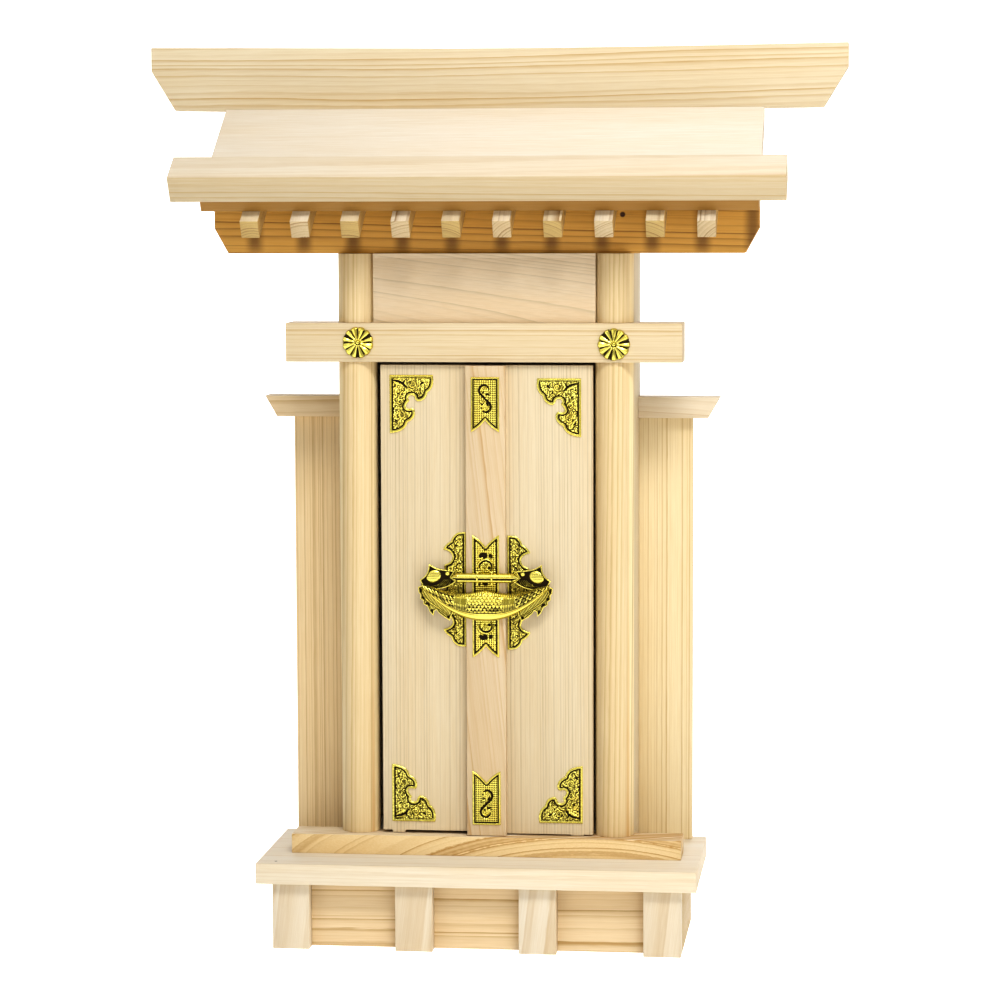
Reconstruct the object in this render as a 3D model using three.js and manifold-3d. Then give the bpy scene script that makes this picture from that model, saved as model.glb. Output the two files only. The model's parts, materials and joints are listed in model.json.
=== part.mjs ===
// Household altar cabinet: a slim wooden shrine cabinet that stands against a wall.
// A deck on four short posts carries a sill, two round columns, a pair of hinged doors and
// two wing boards; ten rafters carry a single roof slope, a heavy eave board and a curved
// ridge beam. Pressed brass fittings dress the doors.
//
// Millimetres. +Z is up, the front faces -Y, X runs along the ridge.
// Origin: centre of the footprint box, on the floor.

import * as THREE from 'three';
import { mergeVertices } from 'three/addons/utils/BufferGeometryUtils.js';
import ManifoldModule from 'manifold-3d';

const wasm = await ManifoldModule();
wasm.setup();

// ---------------------------------------------------------------- driving dimensions

const backY = 51.5;              // flat rear plane of the cabinet
const boardT = 6;                // common board thickness
const fitGap = 0.3;              // clearance between boards that only meet
const seat = 0.1;                // joint line between pieces laid on a slope

// How far each assembly stands from the middle of the ridge beam, along X.
const off = { base: -3.5, wings: -3.4, sill: -1.2, body: -1.6, tie: -2, doors: -0.6, rosettes: -0.5, roof: -1.6 };

// base and deck
const base = { halfWidth: 109.4, frontY: -40, height: 35.9, postWidth: 20, postDepth: 9, recess: 7 };
const deck = { halfWidth: 117.7, frontY: -44.5, thickness: 11.1 };
const deckTop = base.height + deck.thickness;

// sill, inner floor and columns
const sill = { halfWidth: 105.5, frontY: -14.7, depth: 21, height: 10.6 };
const floorZ = deckTop + sill.height;
const column = { x: 69.1, y: 1.1, radius: 10.35, facets: 48 };
const tie = { halfWidth: 106.2, frontY: -10.4, backY: 12.2, bottomZ: 313, topZ: 333.8 };
const lintelZ = 370.7;           // underside of the front beam
const transom = { halfWidth: 59.6, thickness: 3.7, gapAbove: 2.6 };

// cabinet body
const wallOuterX = 79;
const wallInnerX = wallOuterX - boardT;
const wallFrontY = 6;
const backPanelY = backY - boardT;
const wing = { halfWidth: 110.1, frontY: 43.4, topZ: 280.3 };
const cap = { topHalf: 125.3, bottomHalf: 118.7, frontY: 37.3, height: 11.5 };

// doors
const door = {
  outerX: 57, gap: 0.25, thickness: 6, faceY: -7.1, topZ: 311.3,
  gapLeft: 1.6, gapRight: 0.8, footWidth: 7, footInset: 5,
};
const batten = { halfWidth: 10.6, thickness: 5, topZ: 311.2 };
const battenFrontY = door.faceY - batten.thickness;

// roof
const slope = THREE.MathUtils.degToRad(32);
const slab = { halfWidth: 147, lowY: -33.5, lowZ: 393.35, thickness: 9.4 };
const eave = { halfWidth: 161.4, thickness: 15.25, width: 20.6, overhang: 5.7 };
const rafter = { count: 10, halfSpan: 120, width: 9.7, height: 10.4, overhang: 9.5 };
const beam = { halfWidth: 145.9, bottomHalf: 138.5, frontY: -3.5, depth: 14, kneeZ: 384 };
const ridge = {
  topHalf: 190, bottomHalf: 176.9, thickness: 14.8,
  bottomZ: 447.8, kneeZ: 469.3, topZ: 482.2, sag: 1.7,
};
const ridgeFrontY = backY - ridge.thickness;
const roofBack = { halfWidth: 138.5, bottomZ: 413 };

// ---------------------------------------------------------------- materials

const wood = (color) => new THREE.MeshStandardMaterial({ color, roughness: 0.62, metalness: 0 });
const gilt = () => new THREE.MeshStandardMaterial({ color: 0xd8c53c, roughness: 0.34, metalness: 0.9 });
const PALE = 0xf0dcb4;
const HONEY = 0xe2bd84;
const AMBER = 0xc08a48;

// ---------------------------------------------------------------- shape helpers

const altar = new THREE.Group();

// Runs a builder inside a group of its own that stands off the middle by a shift along X.
let assembly = altar;
function assemble(shift, build) {
  assembly = new THREE.Group();
  assembly.position.x = shift;
  altar.add(assembly);
  build();
}

function place(name, geometry, material) {
  const mesh = new THREE.Mesh(geometry, material);
  mesh.name = name;
  assembly.add(mesh);
  return mesh;
}

function box(xs, ys, zs) {
  const geometry = new THREE.BoxGeometry(xs[1] - xs[0], ys[1] - ys[0], zs[1] - zs[0]);
  return geometry.translate((xs[0] + xs[1]) / 2, (ys[0] + ys[1]) / 2, (zs[0] + zs[1]) / 2);
}

function extruded(shape, depth, axes, curveSegments = 8) {
  const geometry = new THREE.ExtrudeGeometry(shape, { depth, bevelEnabled: false, curveSegments });
  return geometry.applyMatrix4(new THREE.Matrix4().makeBasis(...axes));
}

function asShape(outline) {
  if (outline instanceof THREE.Shape) return outline;
  return new THREE.Shape(outline.map((point) => new THREE.Vector2(...point)));
}

const X = new THREE.Vector3(1, 0, 0);
const Y = new THREE.Vector3(0, 1, 0);
const Z = new THREE.Vector3(0, 0, 1);
const TO_FRONT = new THREE.Vector3(0, -1, 0);

// Prism on an X-Z outline, from rearY towards the front.
function frontPrism(outline, rearY, depth, curveSegments) {
  return extruded(asShape(outline), depth, [X, Z, TO_FRONT], curveSegments).translate(0, rearY, 0);
}

// Prism on a Y-Z outline, spanning x0 to x1.
function sidePrism(outline, x0, x1) {
  return extruded(asShape(outline), x1 - x0, [Y, Z, X]).translate(x0, 0, 0);
}

// Prism on an X-Y outline, standing from z0 to z1.
function standingPrism(outline, z0, z1) {
  return extruded(asShape(outline), z1 - z0, [X, Y, Z]).translate(0, 0, z0);
}

// Closed skin over rings of equal point count; the first and last ring are capped by fans.
function loft(rings) {
  const count = rings[0].length;
  const positions = rings.flat(2);
  const index = [];
  for (let r = 0; r < rings.length - 1; r++) {
    for (let i = 0; i < count; i++) {
      const a = r * count + i;
      const b = r * count + ((i + 1) % count);
      index.push(a, b, a + count, b, b + count, a + count);
    }
  }
  const last = (rings.length - 1) * count;
  for (let i = 1; i < count - 1; i++) {
    index.push(0, i + 1, i, last, last + i, last + i + 1);
  }
  const geometry = new THREE.BufferGeometry();
  geometry.setAttribute('position', new THREE.Float32BufferAttribute(positions, 3));
  geometry.setIndex(index);
  return geometry;
}

function toManifold(geometry) {
  const bare = geometry.clone();
  bare.deleteAttribute('normal');
  bare.deleteAttribute('uv');
  const merged = mergeVertices(bare, 1e-4);
  return new wasm.Manifold(new wasm.Mesh({
    numProp: 3,
    vertProperties: new Float32Array(merged.attributes.position.array),
    triVerts: new Uint32Array(merged.index.array),
  }));
}

function fuse(geometries) {
  const joined = geometries.map(toManifold).reduce((sum, part) => sum.add(part));
  const mesh = joined.getMesh();
  const geometry = new THREE.BufferGeometry();
  geometry.setAttribute('position', new THREE.BufferAttribute(mesh.vertProperties, 3));
  geometry.setIndex(new THREE.BufferAttribute(mesh.triVerts, 1));
  return geometry;
}

// Points of a shape, anticlockwise and without the repeated closing point.
function outlinePoints(shape, curveSegments) {
  const points = shape.getPoints(curveSegments);
  if (points[0].distanceTo(points[points.length - 1]) < 1e-6) points.pop();
  return THREE.ShapeUtils.isClockWise(points) ? points.reverse() : points;
}

// Anticlockwise outline points moved inwards by a distance, along the bisector at each point.
function inset(points, distance) {
  return points.map((point, i) => {
    const before = points[(i + points.length - 1) % points.length];
    const after = points[(i + 1) % points.length];
    const inA = point.clone().sub(before).normalize();
    const inB = after.clone().sub(point).normalize();
    const normal = new THREE.Vector2(-(inA.y + inB.y), inA.x + inB.x).normalize();
    const stretch = Math.max(0.6, normal.dot(new THREE.Vector2(-inB.y, inB.x)));
    return point.clone().addScaledVector(normal, distance / stretch);
  });
}

// ---------------------------------------------------------------- base and deck

const postPitch = (2 * base.halfWidth - base.postWidth) / 3;

function buildBase() {
  for (let i = 0; i < 4; i++) {
    const left = -base.halfWidth + i * postPitch;
    const post = box([left, left + base.postWidth], [base.frontY, base.frontY + base.postDepth], [0, base.height]);
    place(`base_post_${i + 1}`, post, wood(PALE));
  }
  const railFront = base.frontY + base.recess;
  const railBack = base.frontY + base.postDepth;
  for (let i = 0; i < 3; i++) {
    const left = -base.halfWidth + i * postPitch + base.postWidth;
    const rail = box([left, left + postPitch - base.postWidth], [railFront, railBack + boardT], [0.6, base.height]);
    place(`base_rail_${i + 1}`, rail, wood(HONEY));
  }
  for (const [side, sign] of [['left', -1], ['right', 1]]) {
    const outer = sign * base.halfWidth;
    const inner = sign * (base.halfWidth - boardT);
    const board = box([Math.min(outer, inner), Math.max(outer, inner)], [railBack, backY - 0.5], [0, base.height]);
    place(`base_side_${side}`, board, wood(HONEY));
  }
  const reach = base.halfWidth - boardT;
  place('base_back', box([-reach, reach], [backY - 0.5 - boardT, backY - 0.5], [0, base.height]), wood(PALE));
  const deckBoard = box([-deck.halfWidth, deck.halfWidth], [deck.frontY, backY], [base.height, deckTop]);
  place('deck', deckBoard, wood(PALE));
}

// ---------------------------------------------------------------- cabinet body

// Underside of the rafters at a given depth.
const rafterUnderside = (y) => slab.lowZ + (y - slab.lowY) * Math.tan(slope) - rafter.height / Math.cos(slope);

// Round column with a rebate at its outer rear corner that takes the side wall.
function columnOutline(sign) {
  const rebateX = wallInnerX - 0.15 - column.x;
  const rebateY = wallFrontY - 0.2 - column.y;
  const start = Math.atan2(Math.sqrt(column.radius ** 2 - rebateX ** 2), rebateX);
  const end = Math.asin(rebateY / column.radius) + 2 * Math.PI;
  const points = [[rebateX, rebateY]];
  for (let i = 0; i <= column.facets; i++) {
    const angle = start + (end - start) * (i / column.facets);
    points.push([column.radius * Math.cos(angle), column.radius * Math.sin(angle)]);
  }
  return points.map(([x, y]) => [sign * (column.x + x), column.y + y]);
}

const sillBack = sill.frontY + sill.depth;

function buildSill() {
  place('sill', box([-sill.halfWidth, sill.halfWidth], [sill.frontY, sillBack], [deckTop, floorZ]), wood(HONEY));
}

function buildTie() {
  const tieBeam = box([-tie.halfWidth, tie.halfWidth], [tie.frontY, tie.backY], [tie.bottomZ, tie.topZ]);
  place('tie_beam', tieBeam, wood(PALE));
}

function buildFrame() {
  place('inner_floor', box([-wallOuterX, wallOuterX], [sillBack, backY - 0.5], [deckTop, floorZ]), wood(PALE));
  for (const [side, sign] of [['left', -1], ['right', 1]]) {
    const outline = columnOutline(sign);
    place(`column_${side}_lower`, standingPrism(outline, floorZ, tie.bottomZ), wood(HONEY));
    place(`column_${side}_upper`, standingPrism(outline, tie.topZ, lintelZ), wood(HONEY));
  }
  const transomBox = [[-transom.halfWidth, transom.halfWidth], [door.faceY, door.faceY + transom.thickness]];
  place('transom_panel', box(...transomBox, [tie.topZ, lintelZ - transom.gapAbove]), wood(PALE));
  const ceiling = box([-wallInnerX, wallInnerX], [tie.backY, backPanelY], [tie.topZ - boardT, tie.topZ]);
  place('ceiling', ceiling, wood(PALE));
}

function buildWalls() {
  const beamBack = beam.frontY + beam.depth + 0.2;
  const wallTopBack = backPanelY - 0.2;
  const outline = [
    [wallFrontY, floorZ],
    [wallFrontY, tie.bottomZ - 0.2],
    [tie.backY, tie.bottomZ - 0.2],
    [tie.backY, tie.topZ + 0.2],
    [wallFrontY, tie.topZ + 0.2],
    [wallFrontY, lintelZ - 0.2],
    [beamBack, lintelZ - 0.2],
    [beamBack, rafterUnderside(beamBack) - seat],
    [wallTopBack, rafterUnderside(wallTopBack) - seat],
    [wallTopBack, roofBack.bottomZ],
    [backY - 0.5, roofBack.bottomZ],
    [backY - 0.5, floorZ],
  ];
  place('side_wall_left', sidePrism(outline, -wallOuterX, -wallInnerX), wood(HONEY));
  place('side_wall_right', sidePrism(outline, wallInnerX, wallOuterX), wood(HONEY));
  const panel = box([-wallInnerX, wallInnerX], [backPanelY, backY - 0.5], [floorZ, roofBack.bottomZ]);
  place('back_panel', panel, wood(PALE));
}

// Wing boards and their caps; their inner ends meet the side walls.
function buildWings() {
  for (const [side, sign] of [['left', -1], ['right', 1]]) {
    const inner = sign * wallOuterX + off.body - off.wings;
    const span = [inner, sign * wing.halfWidth].sort((a, b) => a - b);
    place(`wing_${side}`, box(span, [wing.frontY, backY - 0.5], [deckTop, wing.topZ]), wood(PALE));
    const ends = [
      [inner, wing.topZ],
      [sign * cap.bottomHalf, wing.topZ],
      [sign * cap.topHalf, wing.topZ + cap.height],
      [inner, wing.topZ + cap.height],
    ];
    place(`wing_cap_${side}`, frontPrism(ends, backY, backY - cap.frontY), wood(PALE));
  }
}

// ---------------------------------------------------------------- roof

const along = [Math.cos(slope), Math.sin(slope)];      // up the slope, in Y and Z
const outward = [-Math.sin(slope), Math.cos(slope)];   // square to the slope

function onSlope(origin, up, out) {
  return [origin[0] + along[0] * up + outward[0] * out, origin[1] + along[1] * up + outward[1] * out];
}

function buildRoof() {
  const low = [slab.lowY, slab.lowZ];
  const slabUnder = (y) => [y, slab.lowZ + (y - slab.lowY) * Math.tan(slope)];
  const slabOver = (y) => [y, slabUnder(y)[1] + slab.thickness / Math.cos(slope)];
  const slabOutline = [low, slabUnder(ridgeFrontY), slabOver(ridgeFrontY), onSlope(low, 0, slab.thickness)];
  place('roof_slab', sidePrism(slabOutline, -slab.halfWidth, slab.halfWidth), wood(PALE));

  const eaveOutline = [
    onSlope(low, -eave.overhang, slab.thickness + seat),
    onSlope(low, eave.width - eave.overhang, slab.thickness + seat),
    onSlope(low, eave.width - eave.overhang, slab.thickness + eave.thickness),
    onSlope(low, -eave.overhang, slab.thickness + eave.thickness),
  ];
  place('eave_board', sidePrism(eaveOutline, -eave.halfWidth, eave.halfWidth), wood(PALE));

  const rafterBack = backPanelY - fitGap;
  const rafterOutline = [
    onSlope(low, -rafter.overhang, -rafter.height),
    [rafterBack, rafterUnderside(rafterBack)],
    [rafterBack, slabUnder(rafterBack)[1] - seat],
    onSlope(low, -rafter.overhang, -seat),
  ];
  for (let i = 0; i < rafter.count; i++) {
    const x = -rafter.halfSpan + (2 * rafter.halfSpan * i) / (rafter.count - 1);
    const name = `rafter_${String(i + 1).padStart(2, '0')}`;
    place(name, sidePrism(rafterOutline, x - rafter.width / 2, x + rafter.width / 2), wood(HONEY));
  }
  buildBeam();
  const boardTop = ridge.bottomZ - ridge.sag;
  const board = box([-roofBack.halfWidth, roofBack.halfWidth], [backPanelY, backY], [roofBack.bottomZ, boardTop]);
  place('roof_back_board', board, wood(PALE));
}

// Front beam: its ends slant in below the knee and its top is planed to the rafters.
function buildBeam() {
  const back = beam.frontY + beam.depth;
  const section = [
    [beam.frontY, lintelZ],
    [back, lintelZ],
    [back, rafterUnderside(back) - seat],
    [beam.frontY, rafterUnderside(beam.frontY) - seat],
  ];
  const whole = toManifold(sidePrism(section, -beam.halfWidth, beam.halfWidth));
  const drop = beam.kneeZ - lintelZ;
  const slant = beam.halfWidth - beam.bottomHalf;
  const cuts = [-1, 1].map((sign) => toManifold(frontPrism([
    [sign * beam.halfWidth, beam.kneeZ],
    [sign * (beam.bottomHalf - slant), lintelZ - drop],
    [sign * (beam.halfWidth + slant), lintelZ - drop],
    [sign * (beam.halfWidth + slant), beam.kneeZ],
  ], back + 1, beam.depth + 2)));
  const mesh = whole.subtract(cuts[0]).subtract(cuts[1]).getMesh();
  const geometry = new THREE.BufferGeometry();
  geometry.setAttribute('position', new THREE.BufferAttribute(mesh.vertProperties, 3));
  geometry.setIndex(new THREE.BufferAttribute(mesh.triVerts, 1));
  place('front_beam', geometry, wood(AMBER));
}

// Ridge beam: both long edges dip gently towards the middle and the ends slant in.
function buildRidge() {
  const steps = 20;
  const dip = (x, half) => ridge.sag * (1 - (x / half) ** 2);
  const upper = [];
  const lower = [];
  for (let i = 0; i <= steps; i++) {
    const t = -1 + (2 * i) / steps;
    const top = t * ridge.topHalf;
    const bottom = t * ridge.bottomHalf;
    upper.push([top, ridge.topZ - dip(top, ridge.topHalf)]);
    lower.push([bottom, ridge.bottomZ - dip(bottom, ridge.bottomHalf)]);
  }
  const outline = [...lower, [ridge.topHalf, ridge.kneeZ], ...upper.reverse(), [-ridge.topHalf, ridge.kneeZ]];
  place('ridge_beam', frontPrism(outline, backY, ridge.thickness), wood(PALE));
}

// ---------------------------------------------------------------- doors

// Door leaf with the small foot under its hinge side; sign is -1 for the left door.
function doorOutline(sign, gap) {
  const foot = [door.outerX - door.footInset, door.outerX - door.footInset - door.footWidth];
  const bottom = floorZ + gap;
  return [
    [door.gap, bottom], [foot[1], bottom], [foot[1], floorZ + fitGap], [foot[0], floorZ + fitGap],
    [foot[0], bottom], [door.outerX, bottom], [door.outerX, door.topZ], [door.gap, door.topZ],
  ].map(([x, z]) => [sign * x, z]);
}

function buildDoors() {
  const rear = door.faceY + door.thickness;
  const leftFace = door.thickness - 0.2;    // the left leaf lies just clear of the batten
  place('door_left', frontPrism(doorOutline(-1, door.gapLeft), rear, leftFace), wood(PALE));
  place('door_right', frontPrism(doorOutline(1, door.gapRight), rear, door.thickness), wood(PALE));
  const strip = box([-batten.halfWidth, batten.halfWidth], [battenFrontY, door.faceY], [floorZ + fitGap, batten.topZ]);
  place('door_batten', strip, wood(PALE));
}

// ---------------------------------------------------------------- brass fittings

const plate = { base: 0.5, rim: 0.9, rimWidth: 1.2 };    // sheet, raised rim height, rim width

// Sheet with a raised rim, and optional relief shapes standing on it.
function rimmedPlate(shape, rearY, reliefs = [], curveSegments = 5) {
  const points = outlinePoints(shape, curveSegments);
  const ring = new THREE.Shape(points);
  ring.holes.push(new THREE.Path(inset(points, plate.rimWidth)));
  const parts = [
    frontPrism(new THREE.Shape(points), rearY, plate.base),
    frontPrism(ring, rearY, plate.rim),
    ...reliefs.map((relief) => frontPrism(relief, rearY, plate.rim + 0.25, 4)),
  ];
  return fuse(parts);
}

// Pointed leaf between two bowed edges.
function leaf(from, to, bulgeOut, bulgeIn) {
  const middle = [(from[0] + to[0]) / 2, (from[1] + to[1]) / 2];
  const across = [from[1] - to[1], to[0] - from[0]];
  const shape = new THREE.Shape();
  shape.moveTo(...from);
  shape.quadraticCurveTo(middle[0] + across[0] * bulgeOut, middle[1] + across[1] * bulgeOut, ...to);
  shape.quadraticCurveTo(middle[0] + across[0] * bulgeIn, middle[1] + across[1] * bulgeIn, ...from);
  return shape;
}

// Corner plate: square outer corner, and a cusped inner edge with a double hollow.
// at is the outer corner; sx and sz point from it into the door.
function cornerPlate(at, sx, sz) {
  const p = (u, v) => [at[0] + sx * u, at[1] + sz * v];
  const shape = new THREE.Shape();
  shape.moveTo(...p(0, 0));
  shape.lineTo(...p(23.4, 0));
  shape.quadraticCurveTo(...p(24.6, 6.8), ...p(20.4, 9.3));
  shape.quadraticCurveTo(...p(19.6, 14), ...p(15, 14.2));
  shape.lineTo(...p(13.9, 13));
  shape.quadraticCurveTo(...p(13.7, 10.8), ...p(11.9, 10.8));
  shape.quadraticCurveTo(...p(10, 10.9), ...p(10, 12.5));
  shape.lineTo(...p(10.7, 13.8));
  shape.quadraticCurveTo(...p(8.9, 15.2), ...p(8.6, 17));
  shape.quadraticCurveTo(...p(9.2, 18.6), ...p(11.2, 18));
  shape.quadraticCurveTo(...p(13.2, 17.4), ...p(13.6, 19.6));
  shape.quadraticCurveTo(...p(14, 23.4), ...p(9.5, 25.4));
  shape.quadraticCurveTo(...p(8.6, 30.6), ...p(0, 31.2));
  const reliefs = [
    leaf(p(1.6, 2.6), p(9, 7.4), 0.16, -0.16),
    leaf(p(10, 7), p(17.6, 3.4), 0.2, -0.14),
    leaf(p(12.6, 7.4), p(17.4, 11), 0.2, -0.1),
    leaf(p(4.2, 8.6), p(5.2, 15.6), 0.2, -0.18),
    leaf(p(5, 16.6), p(4, 24.6), 0.18, -0.16),
    leaf(p(6.8, 20), p(10.6, 22.4), 0.24, -0.1),
  ];
  return { shape, reliefs };
}

// Batten strip: a straight plate whose chosen ends are cut to a swallow-tail with curved sides.
function stripShape(halfWidth, z0, z1, forked0, forked1) {
  const shape = new THREE.Shape();
  const notch = 6.4;
  const waist = 0.38;
  shape.moveTo(-halfWidth, z0);
  if (forked0) {
    shape.quadraticCurveTo(-halfWidth * waist, z0 + notch * 0.4, 0, z0 + notch);
    shape.quadraticCurveTo(halfWidth * waist, z0 + notch * 0.4, halfWidth, z0);
  } else {
    shape.lineTo(halfWidth, z0);
  }
  shape.lineTo(halfWidth, z1);
  if (forked1) {
    shape.quadraticCurveTo(halfWidth * waist, z1 - notch * 0.4, 0, z1 - notch);
    shape.quadraticCurveTo(-halfWidth * waist, z1 - notch * 0.4, -halfWidth, z1);
  } else {
    shape.lineTo(-halfWidth, z1);
  }
  shape.closePath();
  return shape;
}

// Side plate beside the lock: straight towards the batten, cusped on its outer edge.
function sidePlateShape(x, z0, z1, sign) {
  const top = (u, v) => [x + sign * u, z1 - v];
  const low = (u, v) => [x + sign * u, z0 + v];
  const shape = new THREE.Shape();
  shape.moveTo(...top(0, 0));
  shape.lineTo(...top(4.2, 0.3));
  shape.quadraticCurveTo(...top(7.4, 2), ...top(8, 5));
  shape.quadraticCurveTo(...top(11.4, 6.8), ...top(12.2, 9.4));
  shape.quadraticCurveTo(...top(7.6, 10.2), ...top(7.2, 13.2));
  shape.quadraticCurveTo(...top(7.6, 17), ...top(11.6, 17.6));
  shape.lineTo(...low(11.6, 17.6));
  shape.quadraticCurveTo(...low(7.6, 17), ...low(7.2, 13.2));
  shape.quadraticCurveTo(...low(7.6, 10.2), ...low(12.2, 9.4));
  shape.quadraticCurveTo(...low(11.4, 6.8), ...low(8, 5));
  shape.quadraticCurveTo(...low(7.4, 2), ...low(4.2, 0.3));
  shape.lineTo(...low(0, 0));
  return shape;
}

// Rosette: a ring of hollowed petals with raised edges round a collared boss.
const rosette = { spacing: 137, radius: 8.7, petals: 12, height: 2, bossRadius: 1.2 };

// Rings of the petals from the rim inwards: share of the radius, share of the height.
const PETAL_RINGS = [[1, 0], [1, 0.42], [0.86, 0.92], [0.56, 0.84], [0.22, 0.66]];

function rosetteGeometry(x, z, rearY, turn) {
  const perPetal = 4;      // groove, raised edge, hollow, raised edge
  const count = rosette.petals * perPetal;
  const rings = PETAL_RINGS.map(([reach, lift]) => {
    const ring = [];
    for (let i = 0; i < count; i++) {
      const across = (i % perPetal) / perPetal;
      const bow = Math.sin(Math.PI * across);
      const edge = Math.abs(Math.sin(2 * Math.PI * across));
      const r = rosette.radius * reach * (1 - 0.12 * reach * (1 - bow ** 0.6));
      const h = rosette.height * lift * (1 - 0.5 * (1 - bow ** 0.5)) + 0.35 * edge * lift;
      const angle = turn + (2 * Math.PI * i) / count;
      ring.push([x + r * Math.cos(angle), rearY - h, z + r * Math.sin(angle)]);
    }
    return ring;
  });
  const collarRadius = 1.6 * rosette.bossRadius;
  const collar = new THREE.CylinderGeometry(collarRadius, collarRadius, rosette.height, 16);
  const bossAt = [x, rearY - rosette.height, z];
  return fuse([
    loft(rings),
    collar.translate(x, rearY - rosette.height / 2, z),
    sphere([rosette.bossRadius, 0.9, rosette.bossRadius], bossAt),
  ]);
}

// Shrimp-shaped lock: a domed crescent, spiny fins, two heads and a pointed bar with two rings.
const lock = {
  z: 198.2, reach: 34.5, plateT: 1.2,
  barRadius: 2.2, ringRadius: 3.1, barReach: 18.4, ringOffset: 3.9,
};

// Section of the crescent: [share of the bulge, share of the height], from the back of the
// upper edge over the domed body and the smooth belly band to the back of the lower edge.
const CRESCENT_SECTION = [[0, 1], [0.4, 1], [0.86, 0.82], [1, 0.55], [0.86, 0.3], [0.6, 0.19], [0.56, 0.07], [0.3, 0], [0, 0]];

function crescent(rearY) {
  const steps = 22;
  const rings = [];
  for (let i = 0; i <= steps; i++) {
    const u = Math.sin(((-1 + (2 * i) / steps) * Math.PI) / 2);
    const lower = lock.z - 23.6 + 18.2 * u ** 2;
    const upper = lock.z - 6.4 - 2.2 * Math.sin(Math.PI * Math.min(1, Math.abs(u) * 1.25)) + 3.2 * u ** 4;
    const height = Math.max(0.6, upper - lower);
    const bulge = 1.4 + 4.2 * Math.sqrt(1 - u ** 2);
    rings.push(CRESCENT_SECTION.map(([out, up]) => [lock.reach * u, rearY - bulge * out, lower + height * up]));
  }
  return loft(rings);
}

const sphere = (radii, at) => new THREE.SphereGeometry(1, 10, 7).scale(...radii).translate(...at);

function lockHead(sign, rearY) {
  const p = (u, v) => [sign * u, lock.z + v];
  const shape = new THREE.Shape();
  shape.moveTo(...p(16.2, 3.6));
  shape.quadraticCurveTo(...p(22, 3.6), ...p(26.4, 4.8));
  shape.lineTo(...p(30.4, 7));
  shape.quadraticCurveTo(...p(30.6, 2.4), ...p(35.2, -1.6));
  shape.lineTo(...p(33.2, -5.2));
  shape.quadraticCurveTo(...p(24, -6.6), ...p(15.6, -2.2));
  shape.lineTo(...p(18.4, 0));
  const front = rearY - lock.plateT - 0.6;
  return [
    frontPrism(shape, rearY, lock.plateT + 0.6, 4),
    sphere([3.6, 1.5, 3], [sign * 27.6, front, lock.z + 0.4]),
    sphere([1.4, 1.2, 1.4], [sign * 20, front, lock.z + 2.2]),
  ];
}

// Fin plate behind the crescent: a row of spines along its lower outer edge.
function lockFin(sign, rearY) {
  const p = (u, v) => [sign * u, lock.z + v];
  const spines = [[36.2, -5.4], [35, -11.8], [31.8, -15.2], [28, -20.8], [26.2, -17.4], [24.6, -19], [19.2, -23.4], [17.6, -19.4]];
  const outline = [p(33, -4.6), ...spines.map(([u, v]) => p(u, v)), p(18, -12), p(28, -8)];
  return frontPrism(outline, rearY, lock.plateT);
}

function lockBar(rearY) {
  const tip = 3;
  const profile = [[0, -lock.barReach], [lock.barRadius, tip - lock.barReach]];
  for (const sign of [-1, 1]) {
    const centre = sign * lock.ringOffset;
    profile.push([lock.barRadius, centre - 1.1], [lock.ringRadius, centre - 0.7]);
    profile.push([lock.ringRadius, centre + 0.7], [lock.barRadius, centre + 1.1]);
  }
  profile.push([lock.barRadius, lock.barReach - tip], [0, lock.barReach]);
  const bar = new THREE.LatheGeometry(profile.map((p) => new THREE.Vector2(...p)), 12);
  return bar.rotateZ(-Math.PI / 2).translate(0, rearY - lock.ringRadius, lock.z);
}

function lockGeometry(rearY) {
  const bridge = box([-lock.ringOffset, lock.ringOffset], [rearY - 3, rearY], [lock.z - 10, lock.z]);
  return fuse([
    crescent(rearY),
    lockBar(rearY),
    bridge,
    ...lockHead(-1, rearY),
    ...lockHead(1, rearY),
    lockFin(-1, rearY),
    lockFin(1, rearY),
  ]);
}

// Margins of the four corner plates from the outer and end edges of their door.
const cornerMargins = {
  top_left: { side: -1, end: 1, fromOuter: 5, fromEnd: 5.3 },
  top_right: { side: 1, end: 1, fromOuter: 6.1, fromEnd: 6.9 },
  bottom_left: { side: -1, end: -1, fromOuter: 5, fromEnd: 5.7 },
  bottom_right: { side: 1, end: -1, fromOuter: 5.5, fromEnd: 6.2 },
};

function buildRosettes() {
  const half = rosette.spacing / 2;
  place('rosette_left', rosetteGeometry(-half, tie.topZ - 10.4, tie.frontY, 0), gilt());
  place('rosette_right', rosetteGeometry(half, tie.topZ - 11.2, tie.frontY, Math.PI / rosette.petals), gilt());
}

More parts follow.
